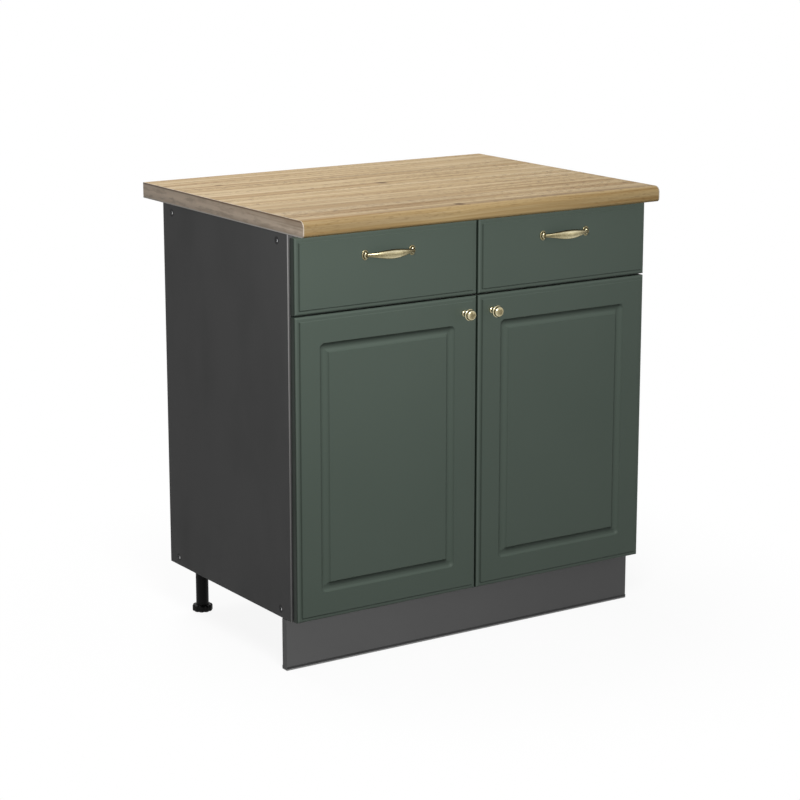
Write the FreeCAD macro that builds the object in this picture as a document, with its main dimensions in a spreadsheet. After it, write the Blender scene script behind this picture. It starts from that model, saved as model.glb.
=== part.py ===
import FreeCAD, Part
import math
import os
import re
import Sketcher

# Kitchen base cabinet: two drawers side by side over two doors, on adjustable feet.
# +X right, -Y front, +Z up, millimetres; the origin is on the floor under the middle of the worktop.

SIZES = {
    # carcass boards
    "unit_width": 800,
    "unit_height": 850,
    "carcass_depth": 470,
    "leg_height": 100,
    "board": 16,
    "lipping": 4,
    "back_board": 3,
    "back_inset": 2,
    "back_screw_inset": 140,
    "bottom_raise": 8,
    "rail_drop": 8,
    "rail_depth": 80,
    "shelf_setback": 20,
    "shelf_slack": 1,
    "pin_radius": 2.5,
    "pin_depth": 10,
    "pin_reach": 9,
    "pin_inset": 50,
    # worktop
    "worktop_thickness": 30,
    "worktop_depth": 600,
    "worktop_rear_overhang": 75,
    "end_band": 2,
    "nose_radius": 12,
    "under_radius": 7,
    "bracket_leg": 20,
    "bracket_width": 18,
    "bracket_sheet": 2,
    "bracket_spread": 120,
    "bracket_screw": 12,
    # fronts
    "front_thickness": 16,
    "front_gap": 3,
    "reveal": 3,
    "side_reveal": 2,
    "bottom_reveal": 1.5,
    "top_reveal": 5.5,
    "drawer_front_height": 140,
    "ledge_width": 9,
    "ledge_depth": 2,
    "ledge_cove": 0.9,
    "rim_radius": 0.7,
    "edge_radius": 4,
    "groove_inset": 51,
    "groove_width": 19,
    "groove_depth": 6.5,
    "bumper_radius": 3,
    "bumper_clearance": 0.3,
    "bumper_inset": 12,
    # handles and knobs
    "handle_centres": 101.6,
    "handle_level": 97.5,
    "rose_radius": 7.8,
    "rose_height": 3,
    "bead_radius": 6,
    "bead_height": 2.5,
    "post_radius": 4.2,
    "post_height": 0.5,
    "grip_bow": 12.5,
    "grip_end_radius": 3.2,
    "grip_end_depth": 2.2,
    "grip_mid_radius": 8.7,
    "grip_mid_depth": 4.5,
    "knob_inset": 30,
    "knob_rose_radius": 6.2,
    "knob_rose_height": 3,
    "knob_neck_radius": 4.2,
    "knob_waist": 3,
    "knob_throat_radius": 6,
    "knob_throat": 15,
    "knob_ring_radius": 11.3,
    "knob_ring_start": 17,
    "knob_ring_height": 2.5,
    "knob_groove": 0.7,
    "knob_groove_radius": 9.6,
    "knob_radius": 10.2,
    "knob_rim_start": 22,
    "knob_rim_end": 24,
    "knob_crown_radius": 8.8,
    "knob_crown_start": 27,
    "knob_face_radius": 6,
    "knob_length": 28.4,
    "machine_screw_radius": 2,
    "machine_head_radius": 4,
    "machine_head_height": 2.6,
    "machine_screw_bite": 8,
    # long screws, small screws and dowels
    "confirmat_radius": 3.5,
    "confirmat_head_radius": 5,
    "confirmat_head_height": 3,
    "confirmat_length": 50,
    "confirmat_hex": 2.2,
    "confirmat_front": 40,
    "confirmat_rear": 34,
    "screw_radius": 1.75,
    "screw_head_radius": 3.2,
    "screw_head_height": 1.4,
    "screw_length": 13,
    "hole_clearance": 0.1,
    "dowel_radius": 4,
    "dowel_length": 30,
    "dowel_shallow": 11,
    "dowel_inset": 92,
    # legs, feet and plinth
    "leg_inset_side": 46,
    "leg_inset_rear": 45,
    "leg_inset_front": 65,
    "leg_plate": 60,
    "leg_plate_thickness": 4,
    "leg_screw_pitch": 44,
    "tube_radius": 12.5,
    "stem_radius": 6,
    "stem_length": 60,
    "stem_clearance": 0.3,
    "foot_radius": 20,
    "foot_height": 13,
    "foot_gap": 0.3,
    "scallop_radius": 4,
    "scallop_bite": 2,
    "plinth_setback": 20,
    "plinth_top_gap": 1,
    "seal_base": 2,
    "seal_wall": 1,
    "seal_height": 7,
    "seal_floor_gap": 0.5,
    "clip_height": 20,
    "clip_width": 34,
    "clip_plate": 3,
    "clip_wall": 3,
    "clip_neck": 12,
    "clip_mouth": 4,
    # drawer boxes and runners
    "drawer_depth": 400,
    "drawer_lift": 8,
    "drawer_bottom": 3,
    "drawer_side_height": 94,
    "runner_thickness": 12.7,
    "runner_height": 45,
    "runner_sheet": 1.2,
    "runner_clearance": 0.3,
    "runner_outer_reach": 9.5,
    "runner_middle_reach": 10.4,
    "runner_screw_inset": 60,
    "runner_length": 400,
    "runner_setback": 6,
    # concealed hinges
    "hinge_inset": 100,
    "cup_radius": 17.5,
    "cup_depth": 11.5,
    "cup_wall": 1,
    "cup_edge_distance": 4.5,
    "flange_length": 52,
    "flange_width": 16,
    "link_radius": 2.2,
    "link_sheet": 1.5,
    "layer_gap": 0.3,
    "cheek_sheet": 2,
    "inner_link_half": 3,
    "hinge_pin_radius": 1.2,
    "pin_fit": 0.05,
    "arm_pin_in": 18.3,
    "arm_pin_out": 5.6,
    "cup_pin_in": 12.3,
    "inner_arm_pin_in": 16.5,
    "inner_arm_pin_out": 10.5,
    "inner_cup_pin_in": 10.6,
    "arm_low": 8,
    "arm_thickness": 6.2,
    "arm_rear": 58,
    "arm_step": 6,
    "arm_shoulder": 1,
    "arm_width": 14,
    "hinge_plate_front": 12,
    "hinge_plate_inset": 37,
    "hinge_plate_wing": 46,
    "hinge_plate_sheet": 3,
    "hinge_screw_pitch": 32,
    "hinge_rail_width": 12,
}

# Places worked out from the sizes.
PLACES = {
    "carcass_back": "worktop_depth / 2 - worktop_rear_overhang",
    "carcass_front": "carcass_back - carcass_depth",
    "panel_back": "carcass_back - back_board",
    "inner_half": "unit_width / 2 - board",
    "carcass_height": "unit_height - worktop_thickness - leg_height",
    "carcass_top": "leg_height + carcass_height",
    "bottom_low": "leg_height + bottom_raise",
    "bottom_mid": "bottom_low + board / 2",
    "rail_low": "carcass_top - rail_drop - board",
    "rail_mid": "rail_low + board / 2",
    "doors_low": "leg_height + bottom_reveal",
    "door_height": "carcass_top - top_reveal - drawer_front_height - reveal - doors_low",
    "drawers_low": "doors_low + door_height + reveal",
    "deck_low": "drawers_low - reveal / 2 - board / 2",
    "deck_mid": "deck_low + board / 2",
    "deck_top": "deck_low + board",
    "divider_height": "rail_low - deck_top",
    "shelf_low": "(bottom_low + deck_low) / 2",
    "front_back": "carcass_front - front_gap",
    "front_face": "front_back - front_thickness",
    "front_width": "(unit_width - 2 * side_reveal - reveal) / 2",
    "front_mid": "(front_width + reveal) / 2",
    "bay_width": "inner_half - board / 2",
    "bay_mid": "(inner_half + board / 2) / 2",
    "box_width": "bay_width - 2 * runner_thickness",
    "side_low": "deck_top + drawer_lift + drawer_bottom",
    "runner_mid": "side_low + drawer_side_height / 2",
    "groove_mid": "groove_inset + groove_width / 2",
    "groove_radius": "(groove_width ^ 2 / 4 + groove_depth ^ 2) / (2 * groove_depth)",
    "handle_z": "drawers_low + handle_level",
    "knob_z": "doors_low + door_height - knob_inset",
    "grip_reach": "rose_height + bead_height + post_height",
    "plinth_front": "carcass_front + plinth_setback",
    "plinth_back": "plinth_front + board",
    "plinth_low": "seal_floor_gap + seal_base",
    "clip_low": "leg_height / 2",
    "tube_low": "foot_height + foot_gap",
    "bore_length": "foot_height + stem_length + stem_clearance",
    "scallop_reach": "foot_radius + scallop_radius - scallop_bite",
    "tube_top": "bottom_low - leg_plate_thickness",
    "cup_middle": "cup_edge_distance + cup_radius",
    "overlay": "board - side_reveal",
    "pin_z": "shelf_low - pin_radius",
    "pin_length": "pin_reach + pin_depth",
    "cheek_in": "inner_link_half + layer_gap",
    "cheek_out": "cheek_in + cheek_sheet",
    "link_in": "cheek_out + layer_gap",
    "link_out": "link_in + link_sheet",
    "ear_in": "link_out + layer_gap",
    "ear_out": "ear_in + cheek_sheet",
}

SIDES = (("left", -1), ("right", 1))
DEPTHS = (("front", -1), ("rear", 1))

TURN = {
    "x": FreeCAD.Rotation(FreeCAD.Vector(0, 1, 0), 90),
    "-x": FreeCAD.Rotation(FreeCAD.Vector(0, 1, 0), -90),
    "y": FreeCAD.Rotation(FreeCAD.Vector(1, 0, 0), -90),
    "-y": FreeCAD.Rotation(FreeCAD.Vector(1, 0, 0), 90),
    "z": FreeCAD.Rotation(),
}

doc = FreeCAD.newDocument("base_cabinet")
sheet = doc.addObject("Spreadsheet::Sheet", "sizes")
for row, (alias, value) in enumerate(SIZES.items(), 1):
    sheet.set("A%d" % row, alias.replace("_", " "))
    sheet.set("B%d" % row, str(value))
    sheet.setAlias("B%d" % row, alias)
doc.recompute()

nodes = []


def expand(text):
    """Write a place as a sum of sheet cells and point every size at its cell."""
    def swap(match):
        word = match.group(0)
        if word in PLACES:
            return "(" + expand(PLACES[word]) + ")"
        if word in SIZES:
            return "sizes." + word
        return word
    return re.sub(r"[a-z_]+", swap, str(text))


def bind(thing, prop, text):
    thing.setExpression(prop, expand(text))


def place(thing, x, y, z):
    for axis, text in zip("xyz", (x, y, z)):
        bind(thing, "Placement.Base." + axis, text)
    return thing


def node(thing, label):
    """Name a finished sub-part; the label is also its file's name."""
    thing.Label = label
    nodes.append(thing)
    return thing


def block(name, mid_x, front_y, low_z, width, depth, height):
    """A board given by its middle in X, its front face and its underside."""
    box = doc.addObject("Part::Box", name)
    bind(box, "Length", width)
    bind(box, "Width", depth)
    bind(box, "Height", height)
    return place(box, "%s - (%s) / 2" % (mid_x, width), front_y, low_z)


def rod(name, radius, length, x, y, z, along="z"):
    bar = doc.addObject("Part::Cylinder", name)
    bind(bar, "Radius", radius)
    bind(bar, "Height", length)
    bar.Placement = FreeCAD.Placement(FreeCAD.Vector(), TURN[along])
    return place(bar, x, y, z)


def taper(name, start_radius, end_radius, length, x, y, z, along="z"):
    cone = doc.addObject("Part::Cone", name)
    bind(cone, "Radius1", start_radius)
    bind(cone, "Radius2", end_radius)
    bind(cone, "Height", length)
    cone.Placement = FreeCAD.Placement(FreeCAD.Vector(), TURN[along])
    return place(cone, x, y, z)


def ball(name, radius, x, y, z):
    sphere = doc.addObject("Part::Sphere", name)
    bind(sphere, "Radius", radius)
    return place(sphere, x, y, z)


def group(name, things):
    bundle = doc.addObject("Part::Compound", name)
    bundle.Links = things
    return bundle


def fuse(name, things):
    joined = doc.addObject("Part::MultiFuse", name)
    joined.Shapes = things
    return joined


def cut(name, base, tools):
    """Take tools that don't touch each other out of a base."""
    result = doc.addObject("Part::Cut", name)
    result.Base = base
    result.Tool = tools[0] if len(tools) == 1 else group(name + "_tools", tools)
    return result


def polygon_sketch(body, plane_role, corners):
    """A closed outline on one of the body's own planes, every corner bound to the sheet."""
    sketch = body.newObject("Sketcher::SketchObject", body.Name + "_sketch")
    plane = [item for item in body.Origin.OriginFeatures if item.Role == plane_role][0]
    sketch.AttachmentSupport = [(plane, "")]
    sketch.MapMode = "FlatFace"
    count = len(corners)
    turns = [2 * math.pi * k / count for k in range(count)]
    start = [FreeCAD.Vector(math.cos(turn), math.sin(turn)) for turn in turns]
    for k in range(count):
        sketch.addGeometry(Part.LineSegment(start[k], start[(k + 1) % count]), False)
    for k in range(count):
        sketch.addConstraint(Sketcher.Constraint("Coincident", k, 2, (k + 1) % count, 1))
    for k, corner in enumerate(corners):
        for kind, text in zip(("DistanceX", "DistanceY"), corner):
            number = sketch.addConstraint(Sketcher.Constraint(kind, k, 1, 1.0))
            bind(sketch, "Constraints[%d]" % number, text)
    return sketch


def pad(body, sketch, length):
    feature = body.newObject("PartDesign::Pad", body.Name + "_pad")
    feature.Profile = sketch
    bind(feature, "Length", length)
    return feature


def prism(name, plane_role, corners, length, x, y, z):
    """An outline pushed straight out of its plane."""
    body = doc.addObject("PartDesign::Body", name)
    place(body, x, y, z)
    pad(body, polygon_sketch(body, plane_role, corners), length)
    return body


def rectangle(half_width, low, high):
    return [("-(%s)" % half_width, low), (half_width, low), (half_width, high), ("-(%s)" % half_width, high)]


def round_edges(body, base, radius, wanted):
    """Fillet the edges of a feature whose middle passes a test."""
    doc.recompute()
    names = []
    for k, edge in enumerate(base.Shape.Edges, 1):
        if wanted(edge.CenterOfMass, edge):
            names.append("Edge%d" % k)
    fillet = body.newObject("PartDesign::Fillet", body.Name + "_round")
    fillet.Base = (base, names)
    bind(fillet, "Radius", radius)
    doc.recompute()
    return fillet


def near(one, other):
    return abs(one - other) < 1e-4


def screw_and_hole(name, x, y, z, along):
    """A small countersunk screw driven from a surface point, and the hole that it sits in."""
    made = []
    for tag, slack in (("_screw", "0"), ("_hole", "hole_clearance")):
        head = taper(name + tag + "_head", "screw_head_radius + " + slack, "screw_radius + " + slack,
                     "screw_head_height", x, y, z, along)
        shank = rod(name + tag + "_shank", "screw_radius + " + slack, "screw_length + " + slack,
                    x, y, z, along)
        made.append(fuse(name + tag, [head, shank]))
    return made


def plain_hole(name, radius, length, x, y, z, along):
    return rod(name, "%s + hole_clearance" % radius, "%s + hole_clearance" % length, x, y, z, along)


def confirmat(name, sign, y, z):
    """A long screw through a side board, with the holes for it."""
    along = "x" if sign < 0 else "-x"
    face = "%d * unit_width / 2" % sign
    head = rod(name + "_head", "confirmat_head_radius", "confirmat_head_height", face, y, z, along)
    shank = rod(name + "_shank", "confirmat_radius", "confirmat_length", face, y, z, along)
    drive = doc.addObject("Part::Prism", name + "_drive")
    drive.Polygon = 6
    bind(drive, "Circumradius", "confirmat_hex")
    bind(drive, "Height", "confirmat_head_height")
    drive.Placement = FreeCAD.Placement(FreeCAD.Vector(), TURN[along])
    place(drive, face, y, z)
    screw = cut(name, fuse(name + "_whole", [head, shank]), [drive])
    hole = fuse(name + "_holes", [
        plain_hole(name + "_head_hole", "confirmat_head_radius", "confirmat_head_height", face, y, z, along),
        plain_hole(name + "_shank_hole", "confirmat_radius", "confirmat_length", face, y, z, along)])
    return screw, hole


def make_long_screws():
    """Four long screws a side: two into the rails, two into the bottom board."""
    screws = []
    holes = {}
    spots = {
        "rail_front": ("carcass_front + confirmat_front", "rail_mid"),
        "rail_rear": ("panel_back - confirmat_rear", "rail_mid"),
        "bottom_front": ("carcass_front + confirmat_front", "bottom_mid"),
        "bottom_rear": ("panel_back - confirmat_rear", "bottom_mid"),
    }
    for side, sign in SIDES:
        for spot, (y, z) in spots.items():
            screw, hole = confirmat("confirmat_%s_%s" % (spot, side), sign, y, z)
            screws.append(screw)
            holes[(spot, side)] = hole
    node(group("carcass_screws", screws), "carcass_screws")
    return holes


def make_dowels():
    """Wooden dowels between the deck and the sides, and at both ends of the divider."""
    dowels = []
    holes = {}
    for depth, step in DEPTHS:
        edge = "carcass_front + dowel_inset" if step < 0 else "panel_back - dowel_inset"
        rail_y = "carcass_front + rail_depth / 2" if step < 0 else "panel_back - rail_depth / 2"
        for side, sign in SIDES:
            along = "-x" if sign < 0 else "x"
            start = "%d * (inner_half - dowel_length + dowel_shallow)" % sign
            name = "dowel_deck_%s_%s" % (side, depth)
            dowels.append(rod(name, "dowel_radius", "dowel_length", start, edge, "deck_mid", along))
            holes[("deck", side, depth)] = plain_hole(name + "_hole", "dowel_radius", "dowel_length",
                                                      start, edge, "deck_mid", along)
        for spot, y, low in (("foot", edge, "deck_top - dowel_shallow"),
                             ("head", rail_y, "rail_low - dowel_length + dowel_shallow")):
            name = "dowel_divider_%s_%s" % (spot, depth)
            dowels.append(rod(name, "dowel_radius", "dowel_length", 0, y, low))
            holes[("divider", spot, depth)] = rod(name + "_hole", "dowel_radius + hole_clearance",
                                                  "dowel_length", 0, y, low)
    node(group("dowels", dowels), "dowels")
    return holes


def make_brackets():
    """Sheet angles that tie the worktop to the side boards, with their screws."""
    angles = []
    screws = []
    holes = {"left": [], "right": [], "worktop": []}
    for side, sign in SIDES:
        for depth, step in DEPTHS:
            name = "bracket_%s_%s" % (side, depth)
            mid_y = "(carcass_front + panel_back) / 2 + %d * bracket_spread / 2" % step
            front_y = mid_y + " - bracket_width / 2"
            upright = block(name + "_upright", "%d * (inner_half - bracket_sheet / 2)" % sign, front_y,
                            "carcass_top - bracket_leg", "bracket_sheet", "bracket_width", "bracket_leg")
            flat = block(name + "_flat", "%d * (inner_half - bracket_leg / 2)" % sign, front_y,
                         "carcass_top - bracket_sheet", "bracket_leg", "bracket_width", "bracket_sheet")
            side_x = "%d * (inner_half - bracket_sheet)" % sign
            top_x = "%d * (inner_half - bracket_screw)" % sign
            into_side, side_hole = screw_and_hole(name + "_side", side_x, mid_y,
                                                  "carcass_top - bracket_screw", "-x" if sign < 0 else "x")
            into_top, top_hole = screw_and_hole(name + "_top", top_x, mid_y,
                                                "carcass_top - bracket_sheet", "z")
            angles.append(cut(name, fuse(name + "_whole", [upright, flat]), [side_hole, top_hole]))
            screws += [into_side, into_top]
            holes[side].append(side_hole)
            holes["worktop"].append(top_hole)
    node(group("worktop_brackets", angles), "worktop_brackets")
    return screws, holes


def worktop_profile(name, x, length):
    """The worktop's section, square at the back and rounded over and under at the front edge."""
    body = prism(name, "YZ_Plane", rectangle("worktop_depth / 2", "0", "worktop_thickness"), length,
                 x, 0, "carcass_top")
    base = body.Tip
    front = -sheet.get("worktop_depth") / 2
    thick = sheet.get("worktop_thickness")
    over = round_edges(body, base, "nose_radius", lambda c, e: near(c.y, front) and near(c.z, thick))
    round_edges(body, over, "under_radius", lambda c, e: near(c.y, front) and near(c.z, 0))
    return body


def make_worktop(holes):
    slab = worktop_profile("worktop_slab", "-unit_width / 2", "unit_width")
    node(cut("worktop_cut", slab, holes), "worktop")
    bands = [worktop_profile("end_band_left", "-unit_width / 2 - end_band", "end_band"),
             worktop_profile("end_band_right", "unit_width / 2", "end_band")]
    node(group("worktop_end_bands", bands), "worktop_end_bands")


def make_sides(holes):
    """Side boards with every hole drilled in them, and their light front lippings."""
    lippings = []
    for side, sign in SIDES:
        mid = "%d * (unit_width - board) / 2" % sign
        blank = block("side_%s_blank" % side, mid, "carcass_front + lipping", "leg_height",
                      "board", "carcass_depth - lipping - back_board", "carcass_height")
        node(cut("side_%s_cut" % side, blank, holes[side]), "side_" + side)
        lippings.append(block("lipping_" + side, mid, "carcass_front", "leg_height",
                              "board", "lipping", "carcass_height"))
    node(group("side_lippings", lippings), "side_lippings")


def make_boards(long_holes, dowel_holes, board_holes):
    """Bottom, deck, divider, rails and back."""
    inner = "2 * inner_half"
    depth = "carcass_depth - back_board"
    bottom = block("bottom_blank", 0, "carcass_front", "bottom_low", inner, depth, "board")
    tools = [long_holes[(spot, side)] for spot in ("bottom_front", "bottom_rear") for side, _ in SIDES]
    node(cut("bottom_cut", bottom, tools + board_holes["bottom"]), "bottom_panel")
    deck = block("deck_blank", 0, "carcass_front", "deck_low", inner, depth, "board")
    tools = [hole for key, hole in dowel_holes.items() if key[0] == "deck" or key[1] == "foot"]
    node(cut("deck_cut", deck, tools), "drawer_deck")
    divider = block("divider_blank", 0, "carcass_front", "deck_top", "board", depth, "divider_height")
    tools = [hole for key, hole in dowel_holes.items() if key[0] == "divider"]
    node(cut("divider_cut", divider, tools + board_holes["divider"]), "drawer_divider")
    for place_name, step in DEPTHS:
        front_y = "carcass_front" if step < 0 else "panel_back - rail_depth"
        rail = block("rail_%s_blank" % place_name, 0, front_y, "rail_low", inner, "rail_depth", "board")
        tools = [long_holes[("rail_" + place_name, side)] for side, _ in SIDES]
        tools.append(dowel_holes[("divider", "head", place_name)])
        node(cut("rail_%s_cut" % place_name, rail, tools), "top_rail_" + place_name)
    back = block("back_blank", 0, "panel_back", "leg_height + back_inset", "unit_width - 2 * back_inset",
                 "back_board", "carcass_height - 2 * back_inset")
    node(cut("back_cut", back, board_holes["back"]), "back_panel")


def make_back_screws():
    """Small screws through the back board into the rear edges of the side boards."""
    screws = []
    holes = {"left": [], "right": [], "back": []}
    for side, sign in SIDES:
        x = "%d * (unit_width - board) / 2" % sign
        for name, z in (("low", "leg_height + back_screw_inset"),
                        ("middle", "leg_height + carcass_height / 2"),
                        ("high", "carcass_top - back_screw_inset")):
            screw, hole = screw_and_hole("back_%s_%s" % (side, name), x, "carcass_back", z, "-y")
            screws.append(screw)
            holes[side].append(hole)
            holes["back"].append(hole)
    return screws, holes


def make_shelf():
    """A loose shelf on four pins that plug into the side boards."""
    node(block("shelf_board", 0, "carcass_front + shelf_setback", "shelf_low",
               "2 * (inner_half - shelf_slack)", "carcass_depth - back_board - shelf_setback - shelf_slack",
               "board"), "shelf")
    pins = []
    holes = {"left": [], "right": []}
    for side, sign in SIDES:
        along = "-x" if sign < 0 else "x"
        for depth, step in DEPTHS:
            y = "carcass_front + shelf_setback + pin_inset" if step < 0 else "panel_back - pin_inset"
            start = "%d * (inner_half - pin_reach)" % sign
            name = "shelf_pin_%s_%s" % (side, depth)
            pins.append(rod(name, "pin_radius", "pin_length", start, y, "pin_z", along))
            holes[side].append(plain_hole(name + "_hole", "pin_radius", "pin_length",
                                          start, y, "pin_z", along))
    node(group("shelf_pins", pins), "shelf_pins")
    return holes


def leg_places():
    for side, sign in SIDES:
        for depth, step in DEPTHS:
            x = "%d * (unit_width / 2 - leg_inset_side)" % sign
            y = "carcass_front + leg_inset_front" if step < 0 else "carcass_back - leg_inset_rear"
            yield depth + "_" + side, x, y


def make_foot(name, x, y):
    """A scalloped foot with a stem that turns up into the leg's tube."""
    disc = rod(name + "_disc", "foot_radius", "foot_height", x, y, 0)
    stem = rod(name + "_stem", "stem_radius", "foot_height + stem_length", x, y, 0)
    scallops = []
    count = 12
    for k in range(count):
        angle = 2 * math.pi * k / count
        scallops.append(rod("%s_scallop_%d" % (name, k), "scallop_radius", "foot_height",
                            "%s + scallop_reach * %.6f" % (x, math.cos(angle)),
                            "%s + scallop_reach * %.6f" % (y, math.sin(angle)), 0))
    rim = cut(name + "_rim", disc, scallops)
    node(fuse(name + "_whole", [rim, stem]), name)


def make_legs():
    """Leg sockets under the bottom board: a plate, a tube with a bore, and two screws each."""
    sockets = []
    screws = []
    holes = []
    for name, x, y in leg_places():
        plate = block("leg_plate_" + name, x, y + " - leg_plate / 2", "tube_top",
                      "leg_plate", "leg_plate", "leg_plate_thickness")
        tube = rod("leg_tube_" + name, "tube_radius", "tube_top - tube_low", x, y, "tube_low")
        bore = rod("leg_bore_" + name, "stem_radius + stem_clearance", "bore_length", x, y, 0)
        tools = [bore]
        for end, sign in SIDES:
            screw_x = "%s + %d * leg_screw_pitch / 2" % (x, sign)
            screw, hole = screw_and_hole("leg_%s_%s" % (name, end), screw_x, y, "tube_top", "z")
            screws.append(screw)
            tools.append(hole)
            holes.append(hole)
        sockets.append(cut("leg_socket_" + name, fuse("leg_whole_" + name, [plate, tube]), tools))
        make_foot("foot_" + name, x, y)
    node(group("leg_sockets", sockets), "leg_sockets")
    return screws, holes


def make_plinth():
    """Plinth board, the sealing strip on its lower edge, and the clips that hold it to the front legs."""
    height = "leg_height - plinth_top_gap - plinth_low"
    node(block("plinth_board", 0, "plinth_front", "plinth_low", "unit_width", "board", height), "plinth")
    outer = block("seal_outer", 0, "plinth_front - seal_wall", "seal_floor_gap", "unit_width",
                  "board + 2 * seal_wall", "seal_height")
    channel_space = block("seal_inner", 0, "plinth_front", "plinth_low", "unit_width", "board", "seal_height")
    node(cut("seal_cut", outer, [channel_space]), "plinth_seal")
    clips = []
    for name, x, y in leg_places():
        if not name.startswith("front"):
            continue
        plate = block("clip_plate_" + name, x, "plinth_back", "clip_low",
                      "clip_width", "clip_plate", "clip_height")
        neck = block("clip_neck_" + name, x, "plinth_back", "clip_low",
                     "clip_neck", y + " - plinth_back", "clip_height")
        ring = rod("clip_ring_" + name, "tube_radius + clip_wall", "clip_height", x, y, "clip_low")
        whole = fuse("clip_whole_" + name, [plate, neck, ring])
        tube = rod("clip_space_" + name, "tube_radius + hole_clearance", "clip_height", x, y, "clip_low")
        mouth = block("clip_mouth_" + name, x, y + " + clip_mouth", "clip_low",
                      "2 * (tube_radius + clip_wall)", "tube_radius + clip_wall", "clip_height")
        clips.append(cut("clip_" + name, whole, [fuse("clip_tools_" + name, [tube, mouth])]))
    node(group("plinth_clips", clips), "plinth_clips")


def front_panel(name, mid_x, low_z, height):
    """A front with a lowered ledge all round a raised face, its edges eased."""
    body = doc.addObject("PartDesign::Body", name)
    place(body, mid_x, "front_back", low_z)
    pad(body, polygon_sketch(body, "XZ_Plane", rectangle("front_width / 2", "0", height)),
        "front_thickness - ledge_depth")
    raised = pad(body, polygon_sketch(body, "XZ_Plane", rectangle(
        "front_width / 2 - ledge_width", "ledge_width", "%s - ledge_width" % height)), "front_thickness")
    top = -sheet.get("front_thickness")
    ledge = top + sheet.get("ledge_depth")
    doc.recompute()
    box = raised.Shape.BoundBox
    margin = sheet.get("ledge_width") / 2

    def outside(c):
        return min(c.x - box.XMin, box.XMax - c.x, c.z - box.ZMin, box.ZMax - c.z) < margin

    rim = round_edges(body, raised, "rim_radius", lambda c, e: near(c.y, top))
    cove = round_edges(body, rim, "ledge_cove", lambda c, e: near(c.y, ledge) and not outside(c))
    round_edges(body, cove, "edge_radius", lambda c, e: near(c.y, ledge) and outside(c))
    return body


def groove_tool(name, mid_x, low_z, height):
    """A round-nosed cutter's path: four runs and a ball at each corner."""
    half = "(front_width / 2 - groove_mid)"
    low = "%s + groove_mid" % low_z
    run = "(%s - 2 * groove_mid)" % height
    axis_y = "front_face - groove_radius + groove_depth"
    parts = []
    for side, sign in SIDES:
        x = "%s + %d * %s" % (mid_x, sign, half)
        parts.append(rod("%s_upright_%s" % (name, side), "groove_radius", run, x, axis_y, low))
        for level, z in (("low", low), ("high", "%s + %s" % (low, run))):
            parts.append(ball("%s_corner_%s_%s" % (name, side, level), "groove_radius", x, axis_y, z))
    for level, z in (("low", low), ("high", "%s + %s" % (low, run))):
        parts.append(rod("%s_across_%s" % (name, level), "groove_radius", "2 * " + half,
                         "%s - %s" % (mid_x, half), axis_y, z, "x"))
    return fuse(name, parts)


def machine_screw(name, grip, x, y, z):
    """A screw with its head behind a board, reaching forward into a knob or a handle."""
    head = rod(name + "_head", "machine_head_radius", "machine_head_height", x, y, z, "y")
    shank = rod(name + "_shank", "machine_screw_radius", "%s + machine_screw_bite" % grip, x, y, z, "-y")
    return fuse(name, [head, shank])


def machine_hole(name, grip, x, y, z):
    return plain_hole(name, "machine_screw_radius", "%s + machine_screw_bite" % grip, x, y, z, "-y")


def make_knob(name, x, z, hole):
    """A turned knob: small rose, flaring neck, wide ring and a domed head with a flat face."""
    ring_end = "(knob_ring_start + knob_ring_height)"
    profile = [
        ("0", "0"),
        ("knob_rose_radius", "0"),
        ("knob_rose_radius", "knob_rose_height"),
        ("knob_neck_radius", "(knob_rose_height + knob_waist)"),
        ("knob_throat_radius", "knob_throat"),
        ("knob_ring_radius", "knob_ring_start"),
        ("knob_ring_radius", ring_end),
        ("knob_groove_radius", "(%s + knob_groove)" % ring_end),
        ("knob_radius", "knob_rim_start"),
        ("knob_radius", "knob_rim_end"),
        ("knob_crown_radius", "knob_crown_start"),
        ("knob_face_radius", "knob_length"),
        ("0", "knob_length"),
    ]
    outline = [(radius, "-" + out) for radius, out in profile]
    body = doc.addObject("PartDesign::Body", name + "_turned")
    place(body, x, "front_face", z)
    turning = body.newObject("PartDesign::Revolution", name + "_turning")
    sketch = polygon_sketch(body, "XY_Plane", outline)
    turning.Profile = sketch
    turning.ReferenceAxis = (sketch, ["V_Axis"])
    turning.Angle = 360
    node(cut(name + "_drilled", body, [hole]), name)


def make_handle(name, mid_x, holes):
    """A bow handle: two low turned feet and a leaf-shaped grip that swells and arches out in the middle."""
    parts = []
    for end, sign in SIDES:
        x = "%s + %d * handle_centres / 2" % (mid_x, sign)
        tag = "%s_%s" % (name, end)
        for step, radius, length in (("rose", "rose_radius", "rose_height"),
                                     ("bead", "bead_radius", "rose_height + bead_height"),
                                     ("post", "post_radius", "grip_reach")):
            parts.append(rod("%s_%s" % (tag, step), radius, length, x, "front_face", "handle_z", "-y"))
        parts.append(ball(tag + "_cap", "post_radius", x, "front_face - grip_reach", "handle_z"))
    sections = []
    count = 9
    for k in range(count):
        share = 2 * k / (count - 1) - 1
        swell = math.cos(math.pi * share / 2) ** 2
        ellipse = doc.addObject("Part::Ellipse", "%s_section_%d" % (name, k))
        ellipse.Placement = FreeCAD.Placement(FreeCAD.Vector(), TURN["-x"])
        bind(ellipse, "MajorRadius", "grip_end_radius + (grip_mid_radius - grip_end_radius) * %.6f" % swell)
        bind(ellipse, "MinorRadius", "grip_end_depth + (grip_mid_depth - grip_end_depth) * %.6f" % swell)
        place(ellipse, "%s + %.6f * handle_centres / 2" % (mid_x, share),
              "front_face - grip_reach - grip_bow * %.6f" % (1 - share ** 2), "handle_z")
        sections.append(ellipse)
    grip = doc.addObject("Part::Loft", name + "_grip")
    grip.Sections = sections
    grip.Solid = True
    parts.append(grip)
    node(cut(name + "_drilled", fuse(name + "_whole", parts), holes), name)


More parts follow.
